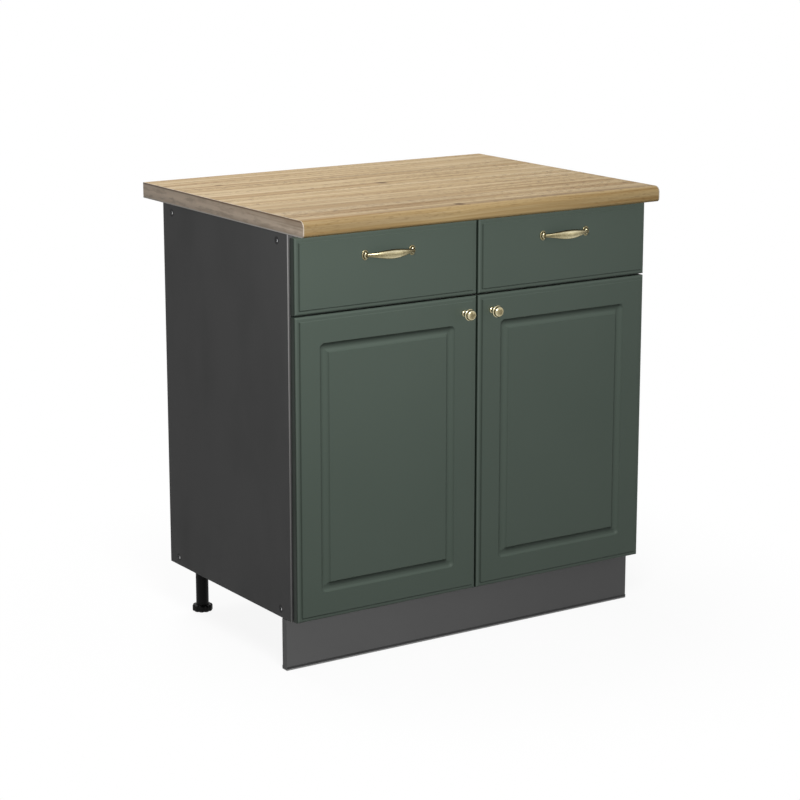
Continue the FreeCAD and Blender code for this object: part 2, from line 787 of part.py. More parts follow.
def channel(name, wall, inward, web, tip, half_height, front_y):
    """One runner member: a C section with its web and flange tips at distances from the wall."""
    faces_wall = name.endswith("moving")
    web_inside = "%s %s runner_sheet" % (web, "-" if faces_wall else "+")
    top = "(%s)" % half_height
    top_inside = "(%s - runner_sheet)" % half_height
    corners = [
        (web, "-" + top), (tip, "-" + top), (tip, "-" + top_inside), (web_inside, "-" + top_inside),
        (web_inside, top_inside), (tip, top_inside), (tip, top), (web, top),
    ]
    turned = [("%d * (%s)" % (inward, x), z) for x, z in corners]
    return prism(name, "XZ_Plane", turned, "runner_length",
                 wall, "%s + runner_length" % front_y, "runner_mid")


def make_runners():
    """Three-part runners on both sides of each drawer bay, with screws for the fixed members."""
    fixed = []
    screws = []
    holes = {"left": [], "right": [], "divider": []}
    step = "(runner_sheet + runner_clearance)"
    half = "runner_height / 2"
    front_y = "carcass_front + runner_setback"
    for side, sign in SIDES:
        middle = []
        moving = []
        for wall_name, wall, inward in (("outside", "%d * inner_half" % sign, -sign),
                                        ("inside", "%d * board / 2" % sign, sign)):
            name = "runner_%s_%s" % (side, wall_name)
            outer = channel(name + "_outer", wall, inward, "0", "runner_outer_reach", half, front_y)
            tools = []
            web_x = "%s + %d * runner_sheet" % (wall, inward)
            for depth, reach in (("front", "runner_screw_inset"),
                                 ("rear", "runner_length - runner_screw_inset")):
                screw, hole = screw_and_hole("%s_%s" % (name, depth), web_x, "%s + %s" % (front_y, reach),
                                             "runner_mid", "-x" if inward > 0 else "x")
                screws.append(screw)
                tools.append(hole)
                holes["divider" if wall_name == "inside" else side].append(hole)
            fixed.append(cut(name + "_fixed", outer, tools))
            middle.append(channel(name + "_middle", wall, inward, step, "runner_middle_reach",
                                  "%s - %s" % (half, step), front_y))
            moving.append(channel(name + "_moving", wall, inward, "runner_thickness", "2 * " + step,
                                  "%s - 2 * %s" % (half, step), front_y))
        node(group("drawer_%s_middle" % side, middle), "drawer_%s_runner_middle" % side)
        node(group("drawer_%s_moving" % side, moving), "drawer_%s_runner_members" % side)
    node(group("runner_cabinet_members", fixed), "runner_cabinet_members")
    return screws, holes


def make_drawer(side, sign):
    """A drawer box on its runners, its front, its handle and the screws that clamp front and handle."""
    mid = "%d * bay_mid" % sign
    face_mid = "%d * front_mid" % sign
    name = "drawer_" + side
    grip = "front_thickness + board"
    screws = []
    holes = []
    for end, step in SIDES:
        x = "%s + %d * handle_centres / 2" % (face_mid, step)
        tag = "%s_handle_screw_%s" % (name, end)
        screws.append(machine_screw(tag, grip, x, "front_back + board", "handle_z"))
        holes.append(machine_hole(tag + "_hole", grip, x, "front_back + board", "handle_z"))
    node(group(name + "_handle_screws", screws), name + "_handle_screws")
    slab = front_panel(name + "_slab", face_mid, "drawers_low", "drawer_front_height")
    node(cut(name + "_front_cut", slab, holes), name + "_front")
    make_handle(name + "_handle", face_mid, holes)
    boards = []
    for edge in (-1, 1):
        side_mid = "%s + %d * (box_width - board) / 2" % (mid, edge)
        boards.append(block("%s_side_%d" % (name, edge + 1), side_mid, "front_back", "side_low",
                            "board", "drawer_depth", "drawer_side_height"))
    node(group(name + "_sides_pair", boards), name + "_sides")
    inner = block(name + "_inner_blank", mid, "front_back", "side_low", "box_width - 2 * board",
                  "board", "drawer_side_height")
    node(cut(name + "_inner_cut", inner, holes), name + "_inner_front")
    node(block(name + "_back_board", mid, "front_back + drawer_depth - board", "side_low",
               "box_width - 2 * board", "board", "drawer_side_height"), name + "_back")
    node(block(name + "_floor", mid, "front_back", "side_low - drawer_bottom", "box_width",
               "drawer_depth", "drawer_bottom"), name + "_bottom")


def hinge_x(sign, inward):
    """X of a point at a distance inward from a side board's inner face."""
    return "%d * (inner_half - (%s))" % (sign, inward)


def hinge_levels():
    return (("low", "doors_low + hinge_inset"), ("high", "doors_low + door_height - hinge_inset"))


def make_hinge_plates():
    """Wing plates on the side boards, 37 mm behind the front edge, each with two screws."""
    plates = []
    screws = []
    holes = {"left": [], "right": []}
    plate_y = "carcass_front + hinge_plate_inset"
    for side, sign in SIDES:
        for level, z in hinge_levels():
            name = "hinge_plate_%s_%s" % (side, level)
            wing = block(name + "_wing", hinge_x(sign, "hinge_plate_sheet / 2"),
                         plate_y + " - hinge_rail_width / 2", "%s - hinge_plate_wing / 2" % z,
                         "hinge_plate_sheet", "hinge_rail_width", "hinge_plate_wing")
            rail = block(name + "_rail", hinge_x(sign, "arm_low / 2"), "carcass_front + hinge_plate_front",
                         "%s - hinge_rail_width / 2" % z, "arm_low", "arm_rear - hinge_plate_front",
                         "hinge_rail_width")
            tools = []
            for end, step in (("under", -1), ("over", 1)):
                screw, hole = screw_and_hole("%s_%s" % (name, end), hinge_x(sign, "hinge_plate_sheet"),
                                             plate_y, "%s + %d * hinge_screw_pitch / 2" % (z, step),
                                             "-x" if sign < 0 else "x")
                screws.append(screw)
                tools.append(hole)
                holes[side].append(hole)
            plates.append(cut(name, fuse(name + "_whole", [wing, rail]), tools))
    node(group("hinge_plates", plates), "hinge_plates")
    return screws, holes


def make_hinge_arms():
    """Arms clamped on the plates; each nose is two cheeks that carry the link pins."""
    arms = []
    for side, sign in SIDES:
        for level, z in hinge_levels():
            name = "hinge_arm_%s_%s" % (side, level)
            bar = block(name + "_bar", hinge_x(sign, "arm_low + arm_thickness / 2"),
                        "carcass_front + arm_step", "%s - arm_width / 2" % z,
                        "arm_thickness", "arm_rear - arm_step", "arm_width")
            outline = [("arm_low", "-arm_step"), ("arm_low + arm_thickness", "-arm_step"),
                       ("arm_pin_in + link_radius", "arm_shoulder"),
                       ("arm_pin_in + link_radius", "arm_pin_out"),
                       ("inner_arm_pin_in + link_radius", "inner_arm_pin_out"),
                       ("inner_arm_pin_in - link_radius", "inner_arm_pin_out"),
                       ("inner_arm_pin_in - link_radius", "arm_shoulder")]
            corners = [(hinge_x(sign, u), "carcass_front - (%s)" % v) for u, v in outline]
            parts = [bar]
            tools = []
            for tag, low in (("over", "%s + cheek_in" % z), ("under", "%s - cheek_out" % z)):
                parts.append(prism("%s_cheek_%s" % (name, tag), "XY_Plane", corners, "cheek_sheet",
                                   0, 0, low))
                for pin, u, v in (("link", "arm_pin_in", "arm_pin_out"),
                                  ("inner", "inner_arm_pin_in", "inner_arm_pin_out")):
                    x = hinge_x(sign, u)
                    y = "carcass_front - %s" % v
                    parts.append(rod("%s_%s_eye_%s" % (name, pin, tag), "link_radius", "cheek_sheet",
                                     x, y, low))
                    tools.append(rod("%s_%s_bore_%s" % (name, pin, tag), "hinge_pin_radius + pin_fit",
                                     "cheek_sheet", x, y, low))
            arms.append(cut(name, fuse(name + "_whole", parts), tools))
    node(group("hinge_arms", arms), "hinge_arms")


def link_bar(name, sign, start, end, out, low, thickness):
    """A flat bar with round ends between two pins at the same distance in front of the carcass."""
    y = "carcass_front - (%s)" % out
    bar = block(name + "_bar", hinge_x(sign, "(%s + %s) / 2" % (start, end)), y + " - link_radius", low,
                "%s - (%s)" % (end, start), "2 * link_radius", thickness)
    ends = [rod("%s_end_%d" % (name, k), "link_radius", thickness, hinge_x(sign, u), y, low)
            for k, u in enumerate((start, end))]
    return [bar] + ends


def make_links(side, sign):
    """Outer links, two cheeks a hinge with their arm pins, and inner links, one bar a hinge with its pin."""
    outer = []
    inner = []
    cup_pin = "cup_pin_in - overlay"
    inner_cup_pin = "inner_cup_pin_in - overlay"
    pin_y = "carcass_front - arm_pin_out"
    for level, z in hinge_levels():
        for tag, low, pin_low in (("over", "%s + link_in" % z, "%s + cheek_in" % z),
                                  ("under", "%s - link_out" % z, "%s - link_out" % z)):
            name = "link_%s_%s_%s" % (side, level, tag)
            parts = link_bar(name, sign, cup_pin, "arm_pin_in", "arm_pin_out", low, "link_sheet")
            parts.append(rod(name + "_pin", "hinge_pin_radius", "link_out - cheek_in",
                             hinge_x(sign, "arm_pin_in"), pin_y, pin_low))
            eye = rod(name + "_eye", "hinge_pin_radius + pin_fit", "link_sheet",
                      hinge_x(sign, cup_pin), pin_y, low)
            outer.append(cut(name, fuse(name + "_whole", parts), [eye]))
        name = "inner_link_%s_%s" % (side, level)
        parts = link_bar(name, sign, inner_cup_pin, "inner_arm_pin_in", "inner_arm_pin_out",
                         "%s - inner_link_half" % z, "2 * inner_link_half")
        inner_y = "carcass_front - inner_arm_pin_out"
        parts.append(rod(name + "_pin", "hinge_pin_radius", "2 * cheek_out",
                         hinge_x(sign, "inner_arm_pin_in"), inner_y, "%s - cheek_out" % z))
        eye = rod(name + "_eye", "hinge_pin_radius + pin_fit", "2 * inner_link_half",
                  hinge_x(sign, inner_cup_pin), inner_y, "%s - inner_link_half" % z)
        inner.append(cut(name, fuse(name + "_whole", parts), [eye]))
    node(group("links_" + side, outer), "hinge_outer_links_" + side)
    node(group("inner_links_" + side, inner), "hinge_inner_links_" + side)


def make_cups(side, sign):
    """Hinge cups with their flanges and pin ears; also the bores that they fill in the door."""
    cups = []
    bores = []
    x = hinge_x(sign, "cup_middle - overlay")
    pin_x = hinge_x(sign, "cup_pin_in - overlay")
    pin_y = "carcass_front - arm_pin_out"
    for level, z in hinge_levels():
        name = "cup_%s_%s" % (side, level)
        shell = rod(name + "_shell", "cup_radius", "cup_depth", x, "front_back", z, "-y")
        flange = block(name + "_flange", x, "front_back - cup_wall", "%s - flange_length / 2" % z,
                       "flange_width", "cup_wall", "flange_length")
        space = rod(name + "_space", "cup_radius - cup_wall", "cup_depth - cup_wall",
                    x, "front_back", z, "-y")
        bowl = cut(name + "_bowl", fuse(name + "_blank", [shell, flange]), [space])
        parts = [bowl]
        for tag, low, pin_low in (("over", "%s + ear_in" % z, "%s + link_in" % z),
                                  ("under", "%s - ear_out" % z, "%s - ear_out" % z)):
            parts.append(block("%s_ear_%s" % (name, tag), pin_x, "front_back - cup_depth + cup_wall / 2", low,
                               "2 * link_radius", "cup_depth - cup_wall", "cheek_sheet"))
            parts.append(rod("%s_pin_%s" % (name, tag), "hinge_pin_radius", "ear_out - link_in",
                             pin_x, pin_y, pin_low))
        cups.append(fuse(name, parts))
        bore = rod(name + "_bore", "cup_radius + pin_fit", "cup_depth + pin_fit", x, "front_back", z, "-y")
        rebate = block(name + "_rebate", x, "front_back - cup_wall - pin_fit",
                       "%s - flange_length / 2 - pin_fit" % z, "flange_width + 2 * pin_fit",
                       "cup_wall + pin_fit", "flange_length + 2 * pin_fit")
        bores.append(fuse(name + "_room", [bore, rebate]))
    node(group("cups_" + side, cups), "door_%s_hinge_cups" % side)
    return bores


def make_door(side, sign):
    """A door front with its groove, cups, knob, knob screw and bumper pads."""
    name = "door_" + side
    mid = "%d * front_mid" % sign
    knob_x = "%d * (reveal / 2 + knob_inset)" % sign
    bores = make_cups(side, sign)
    make_links(side, sign)
    hole = machine_hole(name + "_knob_hole", "front_thickness", knob_x, "front_back", "knob_z")
    groove = groove_tool(name + "_groove", mid, "doors_low", "door_height")
    slab = front_panel(name + "_slab", mid, "doors_low", "door_height")
    node(cut(name + "_cut", slab, [groove, hole] + bores), name + "_panel")
    make_knob(name + "_knob", knob_x, "knob_z", hole)
    node(machine_screw(name + "_knob_screw_body", "front_thickness", knob_x, "front_back", "knob_z"),
         name + "_knob_screw")
    pads = []
    for level, z in (("low", "bottom_mid"), ("high", "deck_low + bumper_radius + bumper_clearance")):
        pads.append(rod("%s_bumper_%s" % (name, level), "bumper_radius", "front_gap - bumper_clearance",
                        "%d * (reveal / 2 + bumper_inset)" % sign, "front_back", z, "y"))
    node(group(name + "_bumper_pair", pads), name + "_bumpers")


def build():
    long_holes = make_long_screws()
    dowel_holes = make_dowels()
    bracket_screws, bracket_holes = make_brackets()
    back_screws, back_holes = make_back_screws()
    pin_holes = make_shelf()
    leg_screws, leg_holes = make_legs()
    runner_screws, runner_holes = make_runners()
    plate_screws, plate_holes = make_hinge_plates()
    make_hinge_arms()
    make_plinth()
    side_holes = {}
    for side, _ in SIDES:
        side_holes[side] = [hole for key, hole in long_holes.items() if key[1] == side]
        side_holes[side] += [hole for key, hole in dowel_holes.items() if key[1] == side]
        for holes in (bracket_holes, back_holes, pin_holes, runner_holes, plate_holes):
            side_holes[side] += holes[side]
    make_sides(side_holes)
    make_boards(long_holes, dowel_holes,
                {"bottom": leg_holes, "divider": runner_holes["divider"], "back": back_holes["back"]})
    make_worktop(bracket_holes["worktop"])
    screws = bracket_screws + back_screws + leg_screws + runner_screws + plate_screws
    node(group("board_screws", screws), "board_screws")
    for side, sign in SIDES:
        make_door(side, sign)
        make_drawer(side, sign)
    doc.recompute()


def check_and_write():
    for thing in doc.Objects:
        if "Invalid" in thing.State or "Error" in thing.State:
            raise RuntimeError("failed: %s %s" % (thing.Name, thing.State))
    for thing in nodes:
        shape = thing.Shape
        if shape.isNull() or not shape.isValid() or not shape.Solids:
            raise RuntimeError("bad shape: " + thing.Label)
    os.makedirs("parts", exist_ok=True)
    for thing in nodes:
        thing.Shape.exportStep("parts/%s.step" % thing.Label)
    print(len(nodes), "nodes written")


build()
check_and_write()
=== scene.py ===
# %% [markdown]
# # A kitchen base cabinet, dressed for the camera
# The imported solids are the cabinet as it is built: boards, hinges, runners, feet. They could all be
# modelled again here, but flat boards and pressed steel are already right, so they stay and only get a
# finish. The pieces whose charm is in a curve (turned knobs, arched handles, the rounded worktop, scalloped
# feet, eased strips) are worked out again as smooth surfaces.

# %% Frame
import math

import bmesh
import bpy
import numpy as np
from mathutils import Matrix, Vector


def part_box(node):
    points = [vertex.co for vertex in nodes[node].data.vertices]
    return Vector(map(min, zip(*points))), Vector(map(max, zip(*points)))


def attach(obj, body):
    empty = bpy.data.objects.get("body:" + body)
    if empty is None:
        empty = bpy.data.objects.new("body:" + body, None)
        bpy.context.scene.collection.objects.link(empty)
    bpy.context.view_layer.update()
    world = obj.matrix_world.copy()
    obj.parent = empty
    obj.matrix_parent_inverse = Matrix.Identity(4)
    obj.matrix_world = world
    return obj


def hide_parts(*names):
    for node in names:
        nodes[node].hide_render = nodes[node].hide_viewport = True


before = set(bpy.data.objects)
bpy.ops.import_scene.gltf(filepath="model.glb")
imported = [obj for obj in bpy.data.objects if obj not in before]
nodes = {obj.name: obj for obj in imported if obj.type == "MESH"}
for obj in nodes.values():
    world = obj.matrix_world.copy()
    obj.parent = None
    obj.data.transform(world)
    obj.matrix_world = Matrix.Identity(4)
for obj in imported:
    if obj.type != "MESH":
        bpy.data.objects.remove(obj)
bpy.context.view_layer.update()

# %% [markdown]
# ## Shader helpers
# A finish is a small web of nodes. Writing each node and link out by hand is long, so one helper puts a
# node in place with its settings and links, and the others are short names for sums that come back often.

# %% Node helpers
def put(tree, kind, inputs=None, **settings):
    """Add a node; an input given as a socket is linked, any other value is set on the socket."""
    node = tree.nodes.new(kind)
    for key, value in settings.items():
        setattr(node, key, value)
    for key, value in (inputs or {}).items():
        if isinstance(value, bpy.types.NodeSocket):
            tree.links.new(value, node.inputs[key])
        else:
            node.inputs[key].default_value = value
    return node


def feed(node, label, socket):
    """Link a socket into an input of a node that is already there."""
    node.id_data.links.new(socket, node.inputs[label])


def reckon(tree, operation, a, b=0.0):
    """One sum with two values."""
    return put(tree, "ShaderNodeMath", {0: a, 1: b}, operation=operation).outputs["Value"]


def times(tree, a, b):
    return reckon(tree, "MULTIPLY", a, b)


def weighed(tree, a, share_a, b, share_b):
    """The sum of two values, each times its share."""
    return reckon(tree, "ADD", times(tree, a, share_a), times(tree, b, share_b))


def spread(tree, value, low, high, out_low, out_high, kind="LINEAR"):
    """Carry a value from one range to another, clamped."""
    ranges = {"Value": value, "From Min": low, "From Max": high, "To Min": out_low, "To Max": out_high}
    return put(tree, "ShaderNodeMapRange", ranges, interpolation_type=kind).outputs["Result"]


def between(tree, value, start, full, fade, stop):
    """Zero up to start, one from full to fade, zero again from stop."""
    rising = spread(tree, value, start, full, 0.0, 1.0)
    return times(tree, rising, spread(tree, value, fade, stop, 1.0, 0.0))


print("helpers for nodes and sums")

# %% [markdown]
# Places on a piece are vectors, and tones are colours, so both get helpers of their own. A pattern is drawn
# on Object coordinates, which stay put when a door swings or a drawer slides.

# %% Vector and colour helpers
def on_piece(tree):
    """The place on the piece, in metres."""
    return put(tree, "ShaderNodeTexCoord").outputs["Object"]


def apart(tree, vector):
    """The coordinates of a vector, by the names X, Y and Z."""
    return put(tree, "ShaderNodeSeparateXYZ", {"Vector": vector}).outputs


def combined(tree, operation, vector, other):
    """One sum with two vectors."""
    return put(tree, "ShaderNodeVectorMath", {0: vector, 1: other}, operation=operation).outputs["Vector"]


def scaled(tree, vector, factors):
    return combined(tree, "MULTIPLY", vector, factors)


def length(tree, vector):
    return put(tree, "ShaderNodeVectorMath", {0: vector}, operation="LENGTH").outputs["Value"]


def noise(tree, vector, scale, detail, roughness=0.55):
    values = {"Vector": vector, "Scale": scale, "Detail": detail, "Roughness": roughness}
    return put(tree, "ShaderNodeTexNoise", values).outputs["Fac"]


def grey(level):
    return (level, level, level)


def toned(tree, value, stops):
    """Colour along a ramp: stops are (place, linear colour) from low to high."""
    ramp = put(tree, "ShaderNodeValToRGB", {"Fac": value})
    elements = ramp.color_ramp.elements
    for element, (place, colour) in zip((elements[0], elements[1]), (stops[0], stops[-1])):
        element.position = place
        element.color = (*colour, 1)
    for place, colour in stops[1:-1]:
        elements.new(place).color = (*colour, 1)
    return ramp.outputs["Color"]


def blended(tree, share, colour, other, kind="MIX"):
    """Mix a plain colour into another one by a share."""
    inputs = {0: share, 6: colour, 7: (*other, 1)}
    return put(tree, "ShaderNodeMix", inputs, data_type="RGBA", blend_type=kind).outputs[2]


print("helpers for places and colours")

# %% [markdown]
# ## Shared effects
# Pressed boards, wrapped fronts and moulded plastic all have a skin: a very fine pebble that breaks the
# highlight and a slow cloud in the tone. An image texture could hold it, but noise needs no file. Touch marks
# are a second effect: patches where the sheen differs a little. Each effect is a node group, built once.

# %% Skin and touch marks
PLACE_INPUT = ("Vector", "NodeSocketVector", None)
PEBBLE_SHARE, CLOUD_SHARE, CLOUDS_PER_METRE = 0.55, 0.45, 3.5
SMEARS_PER_METRE, SMEAR_STRETCH, SMEAR_RANGE = 11.0, (1.0, 1.0, 0.45), (0.42, 0.7)


def new_group(name, inputs, outputs):
    """An effect that several finishes share: a node group with named sockets."""
    group = bpy.data.node_groups.new(name, "ShaderNodeTree")
    for label, kind, value in inputs:
        socket = group.interface.new_socket(name=label, in_out="INPUT", socket_type=kind)
        if value is not None:
            socket.default_value = value
    for label in outputs:
        group.interface.new_socket(name=label, in_out="OUTPUT", socket_type="NodeSocketFloat")
    return group, group.nodes.new("NodeGroupInput").outputs, group.nodes.new("NodeGroupOutput")


def effect(tree, group, **inputs):
    """Place a shared effect in a finish with its own values, and give what it puts out."""
    return put(tree, "ShaderNodeGroup", inputs, node_tree=group).outputs


skin, given, made = new_group("board_skin", [PLACE_INPUT, ("Pebble", "NodeSocketFloat", 900.0)],
                              ["Tone", "Height"])
pebble = noise(skin, given["Vector"], given["Pebble"], 3.0)
cloud = noise(skin, given["Vector"], CLOUDS_PER_METRE, 2.0)
feed(made, "Tone", weighed(skin, pebble, PEBBLE_SHARE, cloud, CLOUD_SHARE))
feed(made, "Height", pebble)

marks, given, made = new_group("touch_marks", [PLACE_INPUT], ["Marks"])
smear = noise(marks, scaled(marks, given["Vector"], SMEAR_STRETCH), SMEARS_PER_METRE, 5.0, 0.62)
feed(made, "Marks", spread(marks, smear, *SMEAR_RANGE, 0.0, 1.0, "SMOOTHSTEP"))
print("effects:", skin.name, marks.name)

# %% [markdown]
# Drawn and plated metal shows fine lines along the way it was worked, and brass that has been toned keeps its
# dark colour in every hollow where polishing didn't reach; its tone also carries painted highlight and shade.
# The lines are noise stretched along one direction; the hollows, with the painted highlight and shade, are an
# attribute of each brass piece, from the tones written beside its profile or round its section.

# %% Metal effects
BLOTCHES_PER_METRE, BLOTCH_SHARE, TONING_RANGE = 420.0, 0.8, (0.35, 1.30)
STRETCH_INPUT = ("Stretch", "NodeSocketVector", (1.0, 1.0, 1.0))
drawn, given, made = new_group("drawn_lines", [PLACE_INPUT, STRETCH_INPUT], ["Lines"])
feed(made, "Lines", noise(drawn, scaled(drawn, given["Vector"], given["Stretch"]), 1.0, 3.0))

toning, given, made = new_group("kept_toning", [PLACE_INPUT, ("Hollow", "NodeSocketFloat", 0.0)], ["Toning"])
blotch = noise(toning, given["Vector"], BLOTCHES_PER_METRE, 4.0, 0.65)
kept = reckon(toning, "ADD", given["Hollow"], times(toning, blotch, BLOTCH_SHARE))
feed(made, "Toning", spread(toning, kept, *TONING_RANGE, 0.0, 1.0))
print("effects:", drawn.name, toning.name)

# %% [markdown]
# ## Oak grain
# The worktop is a printed oak laminate. Its grain runs along the cabinet's width and rolls over the front
# edge without a break, so it is drawn in the worktop's own map: u along the grain, v across it, in metres.
# First come a few knots and dark streaks, which push the other layers aside a little.

# %% Knots and streaks
# Each row: u, v, half length, half width, depth of tone. Three knots come first, then the streaks.
KNOTS = [
    (-0.053, 0.578, 0.010, 0.0095, 1.00),
    (-0.018, 0.264, 0.009, 0.0080, 0.90),
    (-0.300, 0.120, 0.007, 0.0050, 0.60),
    (0.140, 0.579, 0.340, 0.0100, 0.46),
    (-0.160, 0.583, 0.120, 0.0080, 0.42),
    (0.250, 0.470, 0.110, 0.0080, 0.20),
    (-0.200, 0.405, 0.160, 0.0080, 0.20),
    (0.060, 0.150, 0.210, 0.0090, 0.20),
    (-0.300, 0.520, 0.320, 0.0850, 0.24),
    (-0.300, 0.606, 0.200, 0.0120, 0.40),
    (0.200, 0.540, 0.350, 0.0300, 0.13),
    (0.000, 0.608, 3.000, 0.0120, 0.20),
]
KNOT_FADE = (0.5, 1.9)
SWAY_SHIFT, KNOT_SHIFT = 0.03, 0.008

grain, given, made = new_group("oak_grain", [PLACE_INPUT], ["Tone", "Pores", "Knots", "Height"])
flat = given["Vector"]
knots = 0.0
for u, v, half_length, half_width, depth in KNOTS:
    away = combined(grain, "SUBTRACT", flat, (u, v, 0))
    far = length(grain, scaled(grain, away, (1 / half_length, 1 / half_width, 0)))
    knots = reckon(grain, "MAXIMUM", knots, spread(grain, far, *KNOT_FADE, depth, 0.0, "SMOOTHSTEP"))
sway = noise(grain, scaled(grain, flat, (1.5, 2.6, 0)), 1.0, 2.0)
shift = weighed(grain, sway, SWAY_SHIFT, knots, KNOT_SHIFT)
moved = combined(grain, "ADD", flat, put(grain, "ShaderNodeCombineXYZ", {"Y": shift}).outputs[0])
print("knots and streaks in the grain:", len(KNOTS))

# %% [markdown]
# Three layers follow: slow bands of growth, fine fibres and short dark pores. The pores are the peaks of a
# noise drawn out along the grain, thinned by a slower noise that gathers them, and fewer over the nose.

# %% Grain layers
BAND_SHARE, FIBRE_SHARE = 0.56, 0.44
PORE_PEAK, PORE_GATHER, PORE_NOSE = (0.57, 0.61), (0.44, 0.56), (0.582, 0.594)
FIBRE_RISE, PORE_SINK = 0.4, -0.6


def layer(along, across, detail, roughness=0.55):
    """Noise on the moved map, with so many turns to the metre along and across the grain."""
    return noise(grain, scaled(grain, moved, (along, across, 0)), 1.0, detail, roughness)


bands = layer(0.55, 30, 5.0, 0.62)
fibres = layer(1.8, 120, 4.0, 0.68)
dashes = spread(grain, layer(62, 430, 1.0), *PORE_PEAK, 0.0, 1.0)
gathered = spread(grain, layer(1.6, 40, 2.0), *PORE_GATHER, 0.12, 1.0)
over_nose = spread(grain, apart(grain, flat)["Y"], *PORE_NOSE, 1.0, 0.3)
pores = times(grain, times(grain, dashes, gathered), over_nose)
feed(made, "Tone", weighed(grain, bands, BAND_SHARE, fibres, FIBRE_SHARE))
feed(made, "Pores", pores)
feed(made, "Knots", knots)
feed(made, "Height", weighed(grain, fibres, FIBRE_RISE, pores, PORE_SINK))
print("effect:", grain.name, "with", len(grain.nodes), "nodes")

# %% [markdown]
# ## Finishes
# One maker serves every board, film and plastic: the skin gives the tone and the bump, touch marks vary the
# roughness. Values that don't change over a surface are set on the shader itself.

# %% Skin finishes
SKIN_LOW, SKIN_HIGH = 0.34, 0.66


def start_finish(name, specular, metallic=0.0):
    """A material with its plain values set; also its tree, its shader and the place on the piece."""
    material = bpy.data.materials.new(name)
    material.use_nodes = True
    tree = material.node_tree
    shader = tree.nodes["Principled BSDF"]
    shader.inputs["Specular IOR Level"].default_value = specular
    shader.inputs["Metallic"].default_value = metallic
    return material, tree, shader, on_piece(tree)


def raise_skin(tree, shader, height, strength, distance):
    bump = put(tree, "ShaderNodeBump", {"Height": height, "Strength": strength, "Distance": distance})
    feed(shader, "Normal", bump.outputs["Normal"])


def start_skin(name, rough, pebbles, bump, specular):
    """Bump from the skin, roughness from the touch marks; the colour is still to come."""
    material, tree, shader, place = start_finish(name, specular)
    cover = effect(tree, skin, Vector=place, Pebble=pebbles)
    touch = effect(tree, marks, Vector=place)
    feed(shader, "Roughness", spread(tree, touch["Marks"], 0, 1, *rough))
    raise_skin(tree, shader, cover["Height"], *bump)
    return material, tree, shader, place, cover["Tone"]


def skin_finish(name, dark, light, rough, pebbles, bump, specular):
    """Tone from dark to light over the skin."""
    material, tree, shader, _, tone = start_skin(name, rough, pebbles, bump, specular)
    feed(shader, "Base Color", toned(tree, tone, [(SKIN_LOW, dark), (SKIN_HIGH, light)]))
    return material


# Name, dark and light tone, roughness, pebbles to the metre, bump's strength and depth, specular level.
SKINS = {
    "green_paint": ("green film", (0.080, 0.105, 0.086), (0.087, 0.113, 0.093), (0.46, 0.55), 1300.0,
                    (0.10, 0.0002), 0.16),
    "graphite_board": ("graphite laminate", grey(0.092), grey(0.098), (0.58, 0.66), 1100.0,
                       (0.20, 0.0003), 0.08),
    "plinth_board": ("plinth laminate", grey(0.101), grey(0.111), (0.48, 0.56), 1100.0,
                     (0.20, 0.0003), 0.12),
    "white_board": ("white melamine", (0.68, 0.67, 0.65), (0.74, 0.73, 0.71), (0.38, 0.50), 900.0,
                    (0.15, 0.0003), 0.4),
    "hardboard": ("lacquered hardboard", (0.54, 0.52, 0.48), (0.64, 0.62, 0.58), (0.40, 0.56), 700.0,
                  (0.2, 0.0004), 0.4),
    "black_plastic": ("black moulded plastic", grey(0.005), grey(0.009), (0.42, 0.6), 1500.0,
                      (0.25, 0.0003), 0.1),
    "clear_pad": ("frosted pad", (0.58, 0.58, 0.56), (0.66, 0.66, 0.64), (0.25, 0.4), 1800.0,
                  (0.2, 0.0002), 0.5),
}
FINISHES = {slot: skin_finish(*row) for slot, row in SKINS.items()}
print("skin finishes:", ", ".join(sorted(FINISHES)))

# %% [markdown]
# The film of the fronts carries painted light. It has painted shade on the upright edges, a painted highlight
# where it bends over the left rim, and painted shade again in the crease of the ledge and in the doors'
# groove, on the floor of its level runs and on its left wall. A mask could be painted for each front. But the
# fronts repeat from left to right, so a modulo folds both onto one, and the tone depends on the distance from
# the edges. All but the shade on the upright edges stays on the face side.

# %% Film places
FRONT_LEFT, FRONT_WIDE, FRONT_PITCH = -0.398, 0.3965, 0.3995
DRAWER_MIDDLE, DRAWER_HALF = 0.7445, 0.070
DOOR_MIDDLE, DOOR_HALF = 0.3865, 0.285
FACE_SIDE = (-0.2520, -0.2500)

tree = FINISHES["green_paint"].node_tree
places = apart(tree, on_piece(tree))
from_left = reckon(tree, "FLOORED_MODULO", reckon(tree, "SUBTRACT", places["X"], FRONT_LEFT), FRONT_PITCH)
from_right = reckon(tree, "SUBTRACT", FRONT_WIDE, from_left)
from_upright = reckon(tree, "MINIMUM", from_left, from_right)


def from_level(middle, half):
    """Distance in from the nearer level edge of a row of fronts."""
    off_middle = reckon(tree, "ABSOLUTE", reckon(tree, "SUBTRACT", places["Z"], middle))
    return reckon(tree, "SUBTRACT", half, off_middle)


in_door = from_level(DOOR_MIDDLE, DOOR_HALF)
in_front = reckon(tree, "MAXIMUM", from_level(DRAWER_MIDDLE, DRAWER_HALF), in_door)
face_side = spread(tree, places["Y"], *FACE_SIDE, 1.0, 0.0)
print("film places: fronts folded at", FRONT_PITCH, "m")
